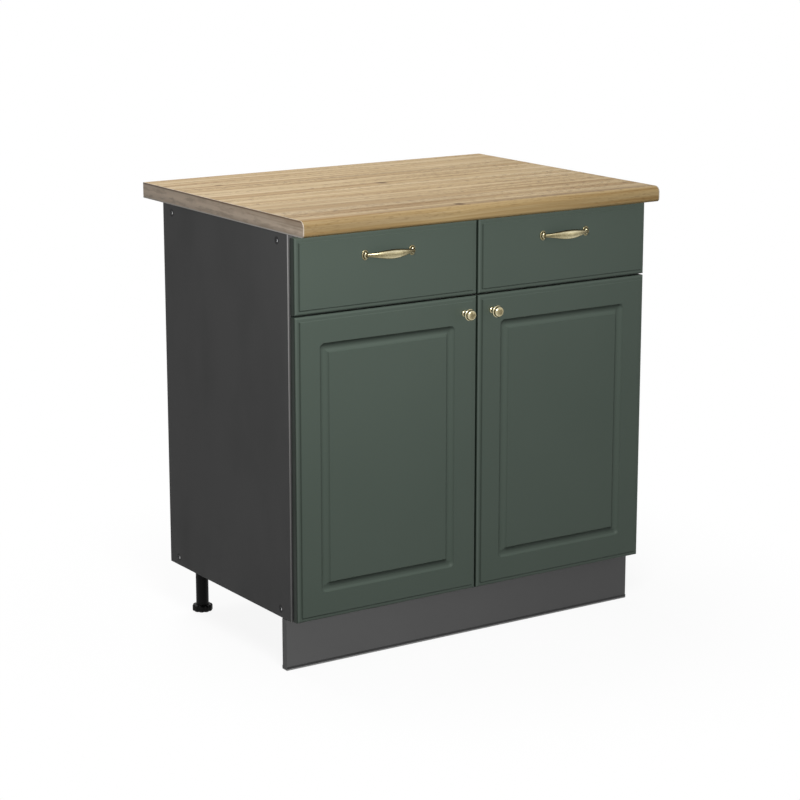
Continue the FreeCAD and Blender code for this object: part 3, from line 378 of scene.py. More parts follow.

# %% [markdown]
# Each painted shade or highlight is a band of distance: four values let it rise over the first two and fall
# over the last two, and a pair is one slope. The bands are laid over the film one after another.

# %% Film edges
# Distances in from the edges, in metres, for the painted shade and the painted highlight below.
EDGE = (0.0003, 0.0011)
LEFT_RIM = (0.0008, 0.0018, 0.0034, 0.0052)
LEFT_CREASE = (0.0070, 0.0082, 0.0098, 0.0112)
RIGHT_CREASE = (0.0080, 0.0087, 0.0093, 0.0100)
LEDGE_CORNER = (0.0080, 0.0095)
GROOVE_WALL = (0.0498, 0.0508, 0.0524, 0.0540)
GROOVE_FLOOR = (0.0535, 0.0560, 0.0610, 0.0650)
GROOVE_CORNER = (0.0535, 0.0600)
EDGE_SHARE, RIM_SHARE, CREASE_SHARE = 0.95, 0.5, 0.6
RIGHT_SHARE, WALL_SHARE, FLOOR_SHARE = 0.5, 0.45, 0.42
EDGE_SHADE, RIM_HIGHLIGHT, CREASE_SHADE = (0.014, 0.022, 0.016), (0.118, 0.142, 0.124), (0.036, 0.049, 0.039)

# Painted shade in the crease of the ledge, on both sides.
ledge = times(tree, spread(tree, in_front, *LEDGE_CORNER, 0.0, 1.0), face_side)
right_crease_shade = times(tree, between(tree, from_right, *RIGHT_CREASE), RIGHT_SHARE)
crease = times(tree, reckon(tree, "MAXIMUM", between(tree, from_left, *LEFT_CREASE), right_crease_shade), ledge)
# Painted highlight on the left rim.
rim = times(tree, between(tree, from_left, *LEFT_RIM), face_side)
# Painted shade on the groove's floor along its level runs and on its left wall.
level_run = times(tree, between(tree, in_door, *GROOVE_FLOOR),
                  spread(tree, from_upright, *GROOVE_CORNER, 0.0, FLOOR_SHARE))
left_wall = times(tree, between(tree, from_left, *GROOVE_WALL),
                  spread(tree, in_door, *GROOVE_CORNER, 0.0, WALL_SHARE))
groove = times(tree, reckon(tree, "MAXIMUM", level_run, left_wall), face_side)
# Painted shade on the upright edges, where two fronts meet and on their outer sides.
painted_edge_shade = spread(tree, from_upright, *EDGE, EDGE_SHARE, 0.0)

shader = tree.nodes["Principled BSDF"]
film = shader.inputs["Base Color"].links[0].from_socket
film = blended(tree, times(tree, crease, CREASE_SHARE), film, CREASE_SHADE)
film = blended(tree, times(tree, rim, RIM_SHARE), film, RIM_HIGHLIGHT)
film = blended(tree, groove, film, CREASE_SHADE)
film = blended(tree, painted_edge_shade, film, EDGE_SHADE)
feed(shader, "Base Color", film)
print("film edges laid on", FINISHES["green_paint"].name)

# %% [markdown]
# The strip on the front edge of each side is pale, with painted light: lighter at the top and darker towards
# the floor. A plain colour would look pasted on, so the tone follows the height as well as the skin, and the
# face that looks into the gap behind the fronts is painted with the gap's shade. The soft strip under the
# plinth is dark, partly as painted shade under the plinth board, with a pale lip on the floor, and is made
# the same way.

# %% Strip finishes
LIPPING_TONES = [(0.05, (0.070, 0.068, 0.067)), (0.55, (0.31, 0.305, 0.295)), (0.95, (0.47, 0.465, 0.455))]
LIPPING_RISE, GAP_SHADE_RANGE, LIP = (0.10, 0.84), (-0.2449, -0.2443), (0.0028, 0.0040)

material, tree, shader, place, tone = start_skin("pale lipping", (0.38, 0.5), 1200.0, (0.1, 0.0002), 0.4)
places = apart(tree, place)
# Painted light: the strip is lighter towards the top and darker towards the floor.
light_by_height = reckon(tree, "ADD", spread(tree, places["Z"], *LIPPING_RISE, 0.0, 0.9), times(tree, tone, 0.1))
# Painted shade on the face that looks into the gap behind the fronts.
gap_shade = spread(tree, places["Y"], *GAP_SHADE_RANGE, 0.9, 0.0)
feed(shader, "Base Color", blended(tree, gap_shade, toned(tree, light_by_height, LIPPING_TONES), grey(0.045)))
FINISHES["pale_lipping"] = material

material, tree, shader, place, tone = start_skin("grey soft strip", (0.4, 0.55), 1500.0, (0.2, 0.0003), 0.2)
# The strip's dark tone is partly its own colour and partly painted shade under the plinth board.
strip = toned(tree, tone, [(SKIN_LOW, grey(0.030)), (SKIN_HIGH, grey(0.045))])
on_floor = spread(tree, apart(tree, place)["Z"], *LIP, 0.9, 0.0)
feed(shader, "Base Color", blended(tree, on_floor, strip, grey(0.30)))
FINISHES["grey_seal"] = material
print("strip finishes: pale lipping, grey soft strip")

# %% [markdown]
# Metal fittings come in two platings. Both are drawn or pressed sheet, so the lines run along their length;
# zinc is bluish and dull, nickel a little warmer and brighter.

# %% Plated finishes
LINE_LOW, LINE_HIGH = 0.3, 0.7


def plated_finish(name, dark, light, rough, stretch):
    """Colour and roughness both follow the drawn lines."""
    material, tree, shader, place = start_finish(name, 0.5, 1.0)
    lines = effect(tree, drawn, Vector=place, Stretch=stretch)["Lines"]
    feed(shader, "Base Color", toned(tree, lines, [(LINE_LOW, dark), (LINE_HIGH, light)]))
    feed(shader, "Roughness", spread(tree, lines, LINE_LOW, LINE_HIGH, *rough))
    raise_skin(tree, shader, lines, 0.08, 0.0002)
    return material


FINISHES["zinc_steel"] = plated_finish("zinc plating", (0.40, 0.41, 0.43), (0.56, 0.57, 0.58),
                                       (0.42, 0.28), (1500.0, 60.0, 1500.0))
FINISHES["nickel_steel"] = plated_finish("nickel plating", (0.50, 0.48, 0.45), (0.66, 0.64, 0.60),
                                         (0.34, 0.2), (1200.0, 80.0, 1200.0))
print("plated finishes: zinc plating, nickel plating")

# %% [markdown]
# The long screws have dark heads, each with one painted highlight, and the board has a ring of painted shade
# round each head. Four spots could be placed one by one. But the heads in a side are evenly set, so a modulo
# folds their places onto one, and a distance draws the spot and the ring on all of them.

# %% Screw finish
# For each coordinate: the first head's place and the step to the next one.
HEADS = [("Y", -0.205, 0.393), ("Z", 0.116, 0.688)]
FOLD_MARGIN = 0.1
SPOT_SHIFT, SPOT_STRETCH, SPOT_FADE = (0.0020, 0.0002, 0), (1.0, 0.7, 1.0), (0.0012, 0.0020)
RING_FADE = (0.0058, 0.0085)


def from_head(tree, place):
    """The way back and up from the middle of the nearest head: (place - first + margin) mod step - margin."""
    places = apart(tree, place)
    ways = []
    for axis, first, step in HEADS:
        shifted = reckon(tree, "SUBTRACT", places[axis], first - FOLD_MARGIN)
        folded = reckon(tree, "FLOORED_MODULO", shifted, step)
        ways.append(reckon(tree, "SUBTRACT", folded, FOLD_MARGIN))
    return put(tree, "ShaderNodeCombineXYZ", {"X": ways[0], "Y": ways[1]}).outputs[0]


screw_finish, tree, shader, place = start_finish("dark screw heads", 0.3, 1.0)
# Painted highlight: one bright spot on each head.
spot = combined(tree, "ADD", from_head(tree, place), SPOT_SHIFT)
far = length(tree, scaled(tree, spot, SPOT_STRETCH))
black = toned(tree, noise(tree, place, 900.0, 3.0), [(0.3, grey(0.006)), (0.7, (0.016, 0.016, 0.017))])
painted_light = spread(tree, far, *SPOT_FADE, 1.0, 0.0)
feed(shader, "Base Color", blended(tree, painted_light, black, (0.62, 0.62, 0.63)))
feed(shader, "Roughness", spread(tree, far, 0.0, 0.005, 0.2, 0.4))

tree = FINISHES["graphite_board"].node_tree
shader = tree.nodes["Principled BSDF"]
laminate = shader.inputs["Base Color"].links[0].from_socket
# Painted shade: a dark ring in the board round each screw head.
rubbed = spread(tree, length(tree, from_head(tree, on_piece(tree))), *RING_FADE, 0.8, 0.0)
feed(shader, "Base Color", blended(tree, rubbed, laminate, grey(0.022)))
print("finish:", screw_finish.name, "with a rubbed ring in the board")

# %% [markdown]
# The pulls are pale aged brass. A clean metal would mirror too much, and a painted one too little, so it is a
# metal with a soft blur, blotched, dark olive in the hollows, and painted with highlight and shade.

# %% Brass finish
BRASS_TONES = [(0.0, (0.84, 0.78, 0.57)), (0.35, (0.46, 0.405, 0.245)), (0.7, (0.19, 0.16, 0.085)),
               (1.0, (0.045, 0.037, 0.020))]
material, tree, shader, place = start_finish("aged brass", 0.5, 1.0)
# The attribute holds the patina in the hollows and the painted highlight and shade.
hollow_and_shade = put(tree, "ShaderNodeAttribute", attribute_name="hollow_and_shade").outputs["Fac"]
kept = effect(tree, toning, Vector=place, Hollow=hollow_and_shade)["Toning"]
feed(shader, "Base Color", toned(tree, kept, BRASS_TONES))
feed(shader, "Roughness", spread(tree, kept, 0, 1, 0.17, 0.45))
lines = effect(tree, drawn, Vector=place, Stretch=(900.0, 900.0, 900.0))["Lines"]
raise_skin(tree, shader, lines, 0.06, 0.0003)
FINISHES["aged_brass"] = material
print("finish:", material.name)

# %% [markdown]
# Wood shows in three places: the oak laminate, the greyer band on the worktop's ends and the hidden beech
# dowels. All three use the grain effect, the oak in its own map and the others in Object coordinates, which
# the band turns so that its grain runs from front to back. Over the nose the oak's colour is a little warmer
# and darker: painted shade.

# %% Wood finishes
PORE_SHARE, KNOT_SHARE = 0.72, 0.9
OAK = [(0.38, (0.30, 0.190, 0.088)), (0.46, (0.405, 0.285, 0.148)), (0.53, (0.48, 0.360, 0.205)),
       (0.61, (0.57, 0.448, 0.290))]
BEECH, BEECH_DARK = [(0.3, (0.46, 0.31, 0.19)), (0.7, (0.58, 0.42, 0.28))], (0.35, 0.22, 0.12)
NOSE_BEND, NOSE_SHADE = (0.584, 0.600), (1.0, 0.955, 0.80)


def grain_map(tree):
    """The worktop's own map: u along the grain, v across it."""
    return put(tree, "ShaderNodeUVMap", uv_map="grain").outputs["UV"]


def wood_finish(name, stops, pore, knot, rough, mapped=False, turn=(0.0, 0.0, 0.0), specular=0.35):
    """Tone from the bands and fibres; pores and knots pull it towards their own colours."""
    material, tree, shader, place = start_finish(name, specular)
    if mapped:
        place = grain_map(tree)
    turned_place = put(tree, "ShaderNodeMapping", {"Vector": place, "Rotation": turn}).outputs["Vector"]
    lines = effect(tree, grain, Vector=turned_place)
    colour = toned(tree, lines["Tone"], stops)
    colour = blended(tree, times(tree, lines["Pores"], PORE_SHARE), colour, pore)
    colour = blended(tree, times(tree, lines["Knots"], KNOT_SHARE), colour, knot)
    feed(shader, "Base Color", colour)
    feed(shader, "Roughness", spread(tree, lines["Tone"], 0.3, 0.7, *rough))
    raise_skin(tree, shader, lines["Height"], 0.2, 0.0004)
    return material, tree, shader, colour


material, tree, shader, colour = wood_finish("oak laminate", OAK, (0.085, 0.045, 0.018), (0.07, 0.034, 0.013),
                                             (0.60, 0.50), True, specular=0.05)
# Painted shade: the oak is warmer and darker over the nose.
nose = spread(tree, apart(tree, grain_map(tree))["Y"], *NOSE_BEND, 0.0, 1.0)
feed(shader, "Base Color", blended(tree, nose, colour, NOSE_SHADE, "MULTIPLY"))
FINISHES["oak_laminate"] = material
FINISHES["beech"] = wood_finish("beech dowel", BEECH, BEECH_DARK, BEECH_DARK, (0.55, 0.45))[0]
print("wood finishes: oak laminate, beech dowel")

# %% [markdown]
# The end of the worktop has a matt band with a greyed grain along its length, paler towards the back. It is
# paler low down, smudged, and has painted shade under the top edge. Where the laminate was cut there is a
# thin dark line at the top and a pale one along the bottom, from the backing paper, and a painted highlight
# lies on its thin side next to the oak. Each of these is one more coat over the grain.

# %% End band finish
BAND = [(0.36, (0.30, 0.238, 0.180)), (0.5, (0.50, 0.408, 0.318)), (0.64, (0.63, 0.528, 0.416))]
ALONG_DEPTH = (0.0, math.pi / 2, math.pi / 2)
material, tree, shader, colour = wood_finish("greyed end band", BAND, (0.36, 0.28, 0.205),
                                             (0.36, 0.275, 0.20), (0.6, 0.5), False, ALONG_DEPTH, 0.15)
place = on_piece(tree)
places = apart(tree, place)
level = places["Z"]
from_middle = reckon(tree, "ABSOLUTE", places["X"])
dirt = noise(tree, scaled(tree, place, (1.0, 32.0, 150.0)), 1.0, 3.0)
coats = {
    "paler back": (spread(tree, places["Y"], -0.26, 0.16, 0.0, 0.85), (0.94, 0.765, 0.60)),
    "rubbed": (times(tree, between(tree, level, 0.8222, 0.8255, 0.8310, 0.8380), 0.3), (0.84, 0.70, 0.56)),
    "smudges": (spread(tree, dirt, 0.48, 0.66, 0.0, 0.4), (0.31, 0.235, 0.17)),
    "shade": (spread(tree, level, 0.8360, 0.8470, 0.0, 0.5), (0.24, 0.175, 0.12)),
    "cut line": (spread(tree, level, 0.8464, 0.8478, 0.0, 0.9), (0.15, 0.10, 0.06)),
    "paper line": (spread(tree, level, 0.8214, 0.8232, 0.75, 0.0), (0.72, 0.70, 0.67)),
    # Painted highlight on the band's thin side next to the oak.
    "painted edge highlight": (spread(tree, from_middle, 0.4012, 0.4018, 0.6, 0.0), (0.66, 0.60, 0.50)),
}
for share, coat in coats.values():
    colour = blended(tree, share, colour, coat)
feed(shader, "Base Color", colour)
FINISHES["grey_end_band"] = material
print("finish:", material.name, "with", ", ".join(coats))

# %% [markdown]
# ## Finishes on the solids
# A solid that keeps its shape keeps its mesh and only takes a new material in its slot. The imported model
# already names each solid's slot, so the table above does the rest; the long screws through the sides get
# their own dark heads.

# %% Dress the solids
for label, solid in nodes.items():
    slot = solid.material_slots[0].material.name
    solid.material_slots[0].material = screw_finish if label == "carcass_screws" else FINISHES[slot]
print("dressed solids:", len(nodes))

# %% [markdown]
# ## Outlines
# Every moulded strip on the cabinet has an outline with softened corners. A corner could be left to a Bevel
# modifier, but an outline that already holds its arcs can also be measured, mapped and drawn in, so the arcs
# are part of the outline.

# %% Outline helpers
SAME_POINT = 1e-7


def eased(corners, reaches, steps, closed=True):
    """Turn each corner into an arc that leaves its two sides at the given reach from the corner.

    The arc is the weighted quadratic curve (a, corner, b): the two side points have weight 1 and the corner
    has the sine of half its angle, which makes the curve a true circle. A point that falls on the one before
    it is dropped."""
    corner = np.asarray(corners, float)
    reach = np.broadcast_to(np.asarray(reaches, float), len(corner)).copy()
    if not closed:
        reach[[0, -1]] = 0
    back = np.roll(corner, 1, 0) - corner
    ahead = np.roll(corner, -1, 0) - corner
    back /= np.linalg.norm(back, axis=1, keepdims=True)
    ahead /= np.linalg.norm(ahead, axis=1, keepdims=True)
    bend = np.sqrt((1 - (back * ahead).sum(1)) / 2)
    t = np.linspace(0, 1, steps)
    share = np.stack([(1 - t) ** 2, 2 * t * (1 - t), t ** 2])
    weight = np.stack([np.ones_like(bend), bend, np.ones_like(bend)])
    handle = np.stack([corner + back * reach[:, None], corner, corner + ahead * reach[:, None]])
    over = np.einsum("kt,kn,knc->ntc", share, weight, handle)
    under = np.einsum("kt,kn->nt", share, weight)[..., None]
    line = (over / under).reshape(-1, 2)
    before = np.roll(line, 1, 0) if closed else np.vstack([line[:1] + 1, line[:-1]])
    return line[np.linalg.norm(line - before, axis=1) > SAME_POINT]


def drawn_in(outline, distance):
    """The closed outline moved inwards: each point goes along the quarter-turned tangent by the distance."""
    ahead = np.roll(outline, -1, 0)
    tangent = ahead - np.roll(outline, 1, 0)
    tangent /= np.linalg.norm(tangent, axis=1, keepdims=True)
    turn = np.sign((outline[:, 0] * ahead[:, 1] - outline[:, 1] * ahead[:, 0]).sum())
    return outline + turn * distance * np.c_[-tangent[:, 1], tangent[:, 0]]


print("a square with eased corners has", len(eased([(0, 0), (1, 0), (1, 1), (0, 1)], 0.1, 9)), "points")

# %% [markdown]
# ## Shells
# Two kinds of surface make every new piece. A strip is an outline carried along a straight line and closed
# with two flat caps. A turned or lofted form is a stack of rings closed by a point at each end. Both are
# grids, so whole arrays of points and faces are worked out at once.

# %% Shell helpers
AXES = {"x": (1, 2, 0), "z": (0, 1, 2)}


def wrapped(rows, columns):
    """The four corners of every face on a grid that closes on itself across its columns."""
    grid = np.arange(rows * columns).reshape(rows, columns)
    step = np.roll(grid, -1, 1)
    return grid, step, np.stack([grid[:-1], step[:-1], step[1:], grid[1:]], -1).reshape(-1, 4)


def carried(outline, stations, insets, axis):
    """Ring k is the outline drawn in by insets[k] and set at stations[k] along the axis.

    The map runs with the axis (u) and round the outline (v), both in metres, so that grain can follow it."""
    across, upward, along = AXES[axis]
    points = np.empty((len(stations), len(outline), 3))
    points[..., [across, upward]] = np.stack([drawn_in(outline, inset) for inset in insets])
    points[..., along] = np.asarray(stations, float)[:, None]
    grid, _, quads = wrapped(len(stations), len(outline))
    sides = np.linalg.norm(np.roll(outline, -1, 0) - outline, axis=1)
    u, v = np.meshgrid(stations, np.r_[0, np.cumsum(sides)], indexing="ij")
    uv = np.stack([u, v], -1)
    quad_uv = np.stack([uv[:-1, :-1], uv[:-1, 1:], uv[1:, 1:], uv[1:, :-1]], 2).reshape(-1, 2)
    return {"points": points.reshape(-1, 3), "quads": quads, "caps": [grid[0][::-1], grid[-1]],
            "uv": np.vstack([quad_uv, outline[::-1], outline])}


def ringed(rings, first, last):
    """A stack of closed rings, (rows, turns, 3), with a fan from a point at either end."""
    rows, turns = rings.shape[:2]
    grid, step, quads = wrapped(rows, turns)
    tip = np.full(turns, rows * turns)
    fans = np.vstack([np.stack([tip, step[0], grid[0]], -1), np.stack([tip + 1, grid[-1], step[-1]], -1)])
    return {"points": np.vstack([rings.reshape(-1, 3), first, last]), "quads": quads, "caps": list(fans)}


print("shells: carried along", " or ".join(AXES), "and ringed")

# %% [markdown]
# The shells of a piece are joined into one mesh, shaded smooth up to a crease angle. It rides on the empty of
# its body, takes the finish of its slot, and the solids it stands for are hidden.

# %% Piece maker
def add_object(name, data):
    thing = bpy.data.objects.new(name, data)
    bpy.context.scene.collection.objects.link(thing)
    return thing


def make_piece(name, shells, body, slot, instead_of, crease=34):
    """Join shells into one mesh at the origin, point its faces outwards and let it ride on a body."""
    points, faces, uv, start = [], [], [], 0
    for shell in shells:
        points.append(shell["points"])
        faces += (shell["quads"] + start).tolist() + [(cap + start).tolist() for cap in shell["caps"]]
        uv.append(shell.get("uv"))
        start += len(shell["points"])
    mesh = bpy.data.meshes.new(name)
    mesh.from_pydata(np.vstack(points).tolist(), [], faces)
    if all(part is not None for part in uv):
        uv_layer = mesh.uv_layers.new(name="grain")
        uv_layer.data.foreach_set("uv", np.vstack(uv).astype(np.float32).ravel())
    if all("hollow_and_shade" in shell for shell in shells):
        hollow_and_shade = mesh.attributes.new("hollow_and_shade", "FLOAT", "POINT")
        hollow_and_shade.data.foreach_set("value", np.concatenate([s["hollow_and_shade"] for s in shells]).astype(np.float32))
    shape = bmesh.new()
    shape.from_mesh(mesh)
    bmesh.ops.recalc_face_normals(shape, faces=shape.faces)
    shape.to_mesh(mesh)
    shape.free()
    mesh.polygons.foreach_set("use_smooth", np.ones(len(mesh.polygons), bool))
    mesh.set_sharp_from_angle(angle=math.radians(crease))
    mesh.materials.append(FINISHES[slot])
    piece = add_object(name, mesh)
    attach(piece, body)
    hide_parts(*instead_of)
    print("%-24s %6d points, %6d faces, on %s" % (name, len(mesh.vertices), len(mesh.polygons), body))
    return piece


# %% [markdown]
# ## Worktop
# The worktop is one sheet of laminate bent over a chipboard core: square at the back, a large round at the
# top of the front edge and a small one beneath. It is an outline carried along X, and the map that comes with
# it lets the grain roll over the nose. The map starts at the back's upper corner, so its seam lies there.

# %% Worktop pieces
NOSE, UNDER, BACK, ARC_STEPS, STATIONS = 0.012, 0.007, 0.0006, 15, 41
ARRIS = 0.0004
low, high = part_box("worktop")
board_outline = eased([(high.y, low.z), (high.y, high.z), (low.y, high.z), (low.y, low.z)],
                      [BACK, BACK, NOSE, UNDER], ARC_STEPS)
board_outline = np.roll(board_outline, -ARC_STEPS, 0)
board = carried(board_outline, np.linspace(low.x, high.x, STATIONS), np.zeros(STATIONS), "x")
worktop_pieces = [make_piece("worktop_oak", [board], "carcass", "oak_laminate", ["worktop"])]

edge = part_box("worktop_end_bands")[1].x
band_stations = np.array([high.x, edge - ARRIS, edge - ARRIS / 3, edge])
band_insets = np.array([0, 0, ARRIS / 3, ARRIS])
ends = [carried(board_outline, band_stations * side, band_insets, "x") for side in (-1, 1)]
worktop_pieces.append(make_piece("worktop_ends", ends, "carcass", "grey_end_band", ["worktop_end_bands"], 50))

# %% [markdown]
# ## Knobs
# Each door has a turned knob: a small rose against the door, a thin neck, a wide ring and a domed head. A
# lathe is the natural way: a profile of radius against reach, swept once round. The profile's corners are
# eased, as a polished casting is never sharp, and each corner has a tone beside it: dark in the hollows where
# polishing doesn't reach, and painted shade and highlight elsewhere.

# %% Turned pieces
def run(line):
    """Share of the way along a line of points, from 0 to 1."""
    steps = np.linalg.norm(np.diff(line, axis=0), axis=1)
    return np.r_[0, np.cumsum(steps)] / steps.sum()


def turned(corners, eases, tones, centre, turns=96, oval=(1.0, 1.0)):
    """Point = centre + radius (p cos a, 0, q sin a) - reach along Y, where p and q make it oval.

    Both ends of the profile lie on the axis. The tones at its corners are carried along by its length."""
    profile = eased(corners, eases, 9, closed=False)
    hollow_and_shade = np.interp(run(profile), run(corners), tones)
    radius, reach = profile[1:-1].T[..., None]
    a = np.linspace(0, 2 * math.pi, turns, endpoint=False)
    level_reach = np.broadcast_to(-reach, (len(reach), turns))
    rings = np.stack([radius * oval[0] * np.cos(a), level_reach, radius * oval[1] * np.sin(a)], -1) + centre
    poles = centre - np.c_[np.zeros(2), profile[[0, -1], 1], np.zeros(2)]
    shell = ringed(rings, poles[0], poles[1])
    shell["hollow_and_shade"] = np.r_[np.repeat(hollow_and_shade[1:-1], turns), hollow_and_shade[[0, -1]]]
    return shell


# Radius and reach of each corner, how far it is eased, all in millimetres, and its tone.
KNOB = np.array([(0, 0), (6.2, 0), (6.2, 3), (4.4, 4.4), (4.6, 8.5), (6, 15), (11.3, 16.9), (11.3, 19.5),
                 (9.4, 20.3), (10.2, 21.8), (10.2, 23.6), (8.9, 26.4), (5.4, 28.2), (0, 28.4)]) / 1000
KNOB_EASE = np.array([0, 0.2, 0.9, 0.6, 1.6, 1.8, 0.7, 1.0, 0.35, 0.5, 0.8, 1.4, 1.7, 0]) / 1000
# The tones are patina in the hollows, and painted shade and highlight elsewhere.
KNOB_TONES = [0.9, 0.4, 0.05, 0.55, 0.0, 0.1, 0.1, 0.0, 0.6, 0.3, 0.35, 0.15, 0.5, 0.65]
BRASS_CREASE = 60
brass_pieces = []
for side in ("left", "right"):
    node = "door_%s_knob" % side
    low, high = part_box(node)
    centre = np.array([(low.x + high.x) / 2, high.y, (low.z + high.z) / 2])
    knob = turned(KNOB, KNOB_EASE, KNOB_TONES, centre)
    brass_pieces.append(make_piece("knob_" + side, [knob], "door_" + side, "aged_brass", [node],
                                   BRASS_CREASE))

# %% [markdown]
# ## Handles
# A drawer handle is a leaf that arches away from the drawer between two small turned feet. Its section is an
# ellipse that swells to the middle, with a soft ridge on the front. A bevelled curve can't carry a section
# that changes, so the leaf is a stack of rings along the arch.

# %% Handle leaf
HALF, LEVEL, LEAF_START, LEAF_BOW = 0.0508, 0.772, 0.006, 0.0125
LEAF_ENDS, LEAF_MIDDLE, RIDGE = (0.0032, 0.0022), (0.0087, 0.0045), 0.32
# Angles round the section, in degrees up from the front, and the tone at each, which is painted highlight and
# shade.
LIGHT_ANGLES = [-180, -80, -68, -52, -28, 0, 22, 36, 48, 58, 180]
LIGHT_TONES = [0.95, 0.9, 0.6, 0.18, 0.3, 0.46, 0.28, 0.06, 0.38, 0.95, 0.95]
# Painted shade at the feet, and a darker tone towards the thin ends.
NEAR_FOOT, FOOT_TONE, TAPER_TONE = (0.93, 0.97), 0.85, 0.30


def leaf(mid, face, stations=81, turns=64):
    """Along share s from -1 to 1 the centre is (mid + half s, face - start - bow (1 - s^2), level).

    The section stands square to the arch: height (e + (m - e) cos^1.5(pi s / 2)) sin a, and depth in the same
    way times cos a, where the front half is drawn towards a ridge, 1 - |sin a|, by the ridge's share. The
    tone is a painted highlight above and below the ridge, painted shade on the top and bottom edges, behind
    and at the feet, and darker towards the thin ends."""
    s = np.linspace(-1, 1, stations)
    swell = np.cos(math.pi * s / 2)[:, None] ** 1.5
    tall, deep = (end + (middle - end) * swell for end, middle in zip(LEAF_ENDS, LEAF_MIDDLE))
    centre = np.c_[mid + HALF * s, face - LEAF_START - LEAF_BOW * (1 - s ** 2), np.full(stations, LEVEL)]
    tangent = np.c_[np.full(stations, HALF), 2 * LEAF_BOW * s, np.zeros(stations)]
    tangent /= np.linalg.norm(tangent, axis=1, keepdims=True)
    front = np.c_[tangent[:, 1], -tangent[:, 0], np.zeros(stations)]
    a = np.linspace(0, 2 * math.pi, turns, endpoint=False)
    keel = np.where(np.cos(a) > 0, 1 - np.abs(np.sin(a)), np.cos(a))
    share = RIDGE * swell
    depth = deep * ((1 - share) * np.cos(a) + share * keel)
    rings = centre[:, None] + depth[..., None] * front[:, None]
    rings[..., 2] += tall * np.sin(a)
    shell = ringed(rings, centre[0], centre[-1])
    near_foot = np.interp(np.abs(s), NEAR_FOOT, [0, 1])[:, None]
    painted_light = np.interp(np.angle(np.exp(1j * a)), np.radians(LIGHT_ANGLES), LIGHT_TONES)
    tones = np.maximum(near_foot * FOOT_TONE, painted_light + TAPER_TONE * (1 - swell))
    shell["hollow_and_shade"] = np.r_[tones.ravel(), 1, 1]
    return shell


print("handle leaf:", round(2 * HALF * 1000, 1), "mm between its feet")

# %% [markdown]
# The feet are turned like the knobs, but the casting is a little taller than wide, so their rings are oval.

# %% Handle pieces
ROSE = np.array([(0, 0), (7.8, 0), (7.8, 1.6), (4.6, 2.5), (5.2, 3.4), (5.0, 5.4), (3.7, 6.6), (2.9, 7.8),
                 (2.0, 9.0), (0, 9.3)]) / 1000
ROSE_EASE = np.array([0, 0.2, 0.7, 0.4, 0.4, 0.8, 0.6, 0.6, 0.8, 0]) / 1000
# The tones are patina in the hollows, and painted shade and highlight elsewhere.
ROSE_TONES = [0.9, 0.7, 0.35, 1.0, 0.4, 0.1, 0.4, 0.8, 0.75, 0.7]
ROSE_OVAL, ROSE_TURNS = (0.92, 1.2), 64
for side in ("left", "right"):
    node = "drawer_%s_handle" % side
    low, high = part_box(node)
    mid = (low.x + high.x) / 2
    shells = [leaf(mid, high.y)]
    for end in (-HALF, HALF):
        foot = np.array([mid + end, high.y, LEVEL])
        shells.append(turned(ROSE, ROSE_EASE, ROSE_TONES, foot, ROSE_TURNS, ROSE_OVAL))
    brass_pieces.append(make_piece("handle_" + side, shells, "drawer_" + side, "aged_brass", [node],
                                   BRASS_CREASE))

# %% [markdown]
# ## Feet
# The legs are black plastic tubes, and each stands on a foot that is turned by hand to level the cabinet, so
# its rim is scalloped for the fingers. A boolean could bite the scallops out; here the rim's radius simply
# dips at every scallop, and the stem and disc are one stack of rings.

# %% Foot pieces
FOOT_RISE = np.array([0, 0.4, 1.2, 2, 10.6, 11.6, 12.6, 13, 13, 13.3, 72, 73])[:, None] / 1000
FOOT_WIDE = np.array([17.2, 18.6, 19.6, 20, 20, 19.6, 18.4, 17, 6.6, 6, 6, 5.4])[:, None] / 1000
DISC, STEM, CUTTER, CUTTER_PLACE, BITES = 0.020, 0.015, 0.004, 0.022, 10


def scalloped_foot(x, y, turns=144):
    """Rings about a vertical line: radius by level, and on the rim less the bite where a round cutter passes.

    A cutter of radius c set at distance q leaves, at angle a from it, q cos a - sqrt(c^2 - (q sin a)^2).
    Rings wider than the stem belong to the disc and have bites."""
    a = np.linspace(0, 2 * math.pi, turns, endpoint=False)
    turn = np.mod(a + math.pi / BITES, 2 * math.pi / BITES) - math.pi / BITES
    inside = np.clip(CUTTER ** 2 - (CUTTER_PLACE * np.sin(turn)) ** 2, 0, None)
    rim = np.where(inside > 0, CUTTER_PLACE * np.cos(turn) - np.sqrt(inside), DISC)
    bitten = np.where(FOOT_WIDE > STEM, FOOT_WIDE - DISC + rim, FOOT_WIDE)
    radius = np.minimum(FOOT_WIDE, bitten)
    rise = np.broadcast_to(FOOT_RISE, radius.shape)
    rings = np.stack([x + radius * np.cos(a), y + radius * np.sin(a), rise], -1)
    return ringed(rings, np.array([x, y, rise[0, 0]]), np.array([x, y, rise[-1, 0]]))


for depth in ("front", "rear"):
    for side in ("left", "right"):
        label = "foot_%s_%s" % (depth, side)
        low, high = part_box(label)
        foot = scalloped_foot((low.x + high.x) / 2, (low.y + high.y) / 2)
        make_piece("levelling_" + label, [foot], label, "black_plastic", [label], 28)

# %% [markdown]
# ## Plinth and strips
# The plinth board, its soft bottom strip and the pale strips on the side boards are straight, but their
# arrises are what catches the light. They are outlines carried along X or Z with the corners eased and the
# ends of the stiff ones drawn in.

# %% Plinth, seal and lipping
STRIP_STEPS, PLINTH_EASE, PLINTH_END, LIPPING_END = 6, 0.0007, 0.0005, 0.0004
SEAL_WALL, SEAL_FLOOR = 0.001, 0.002
SEAL_EASE = np.array([1.2, 1.2, 0.4, 0.4, 0.1, 0.1, 0.4, 0.4]) / 1000
LIPPING_EASE = np.array([0.7, 0.7, 0.05, 0.05]) / 1000


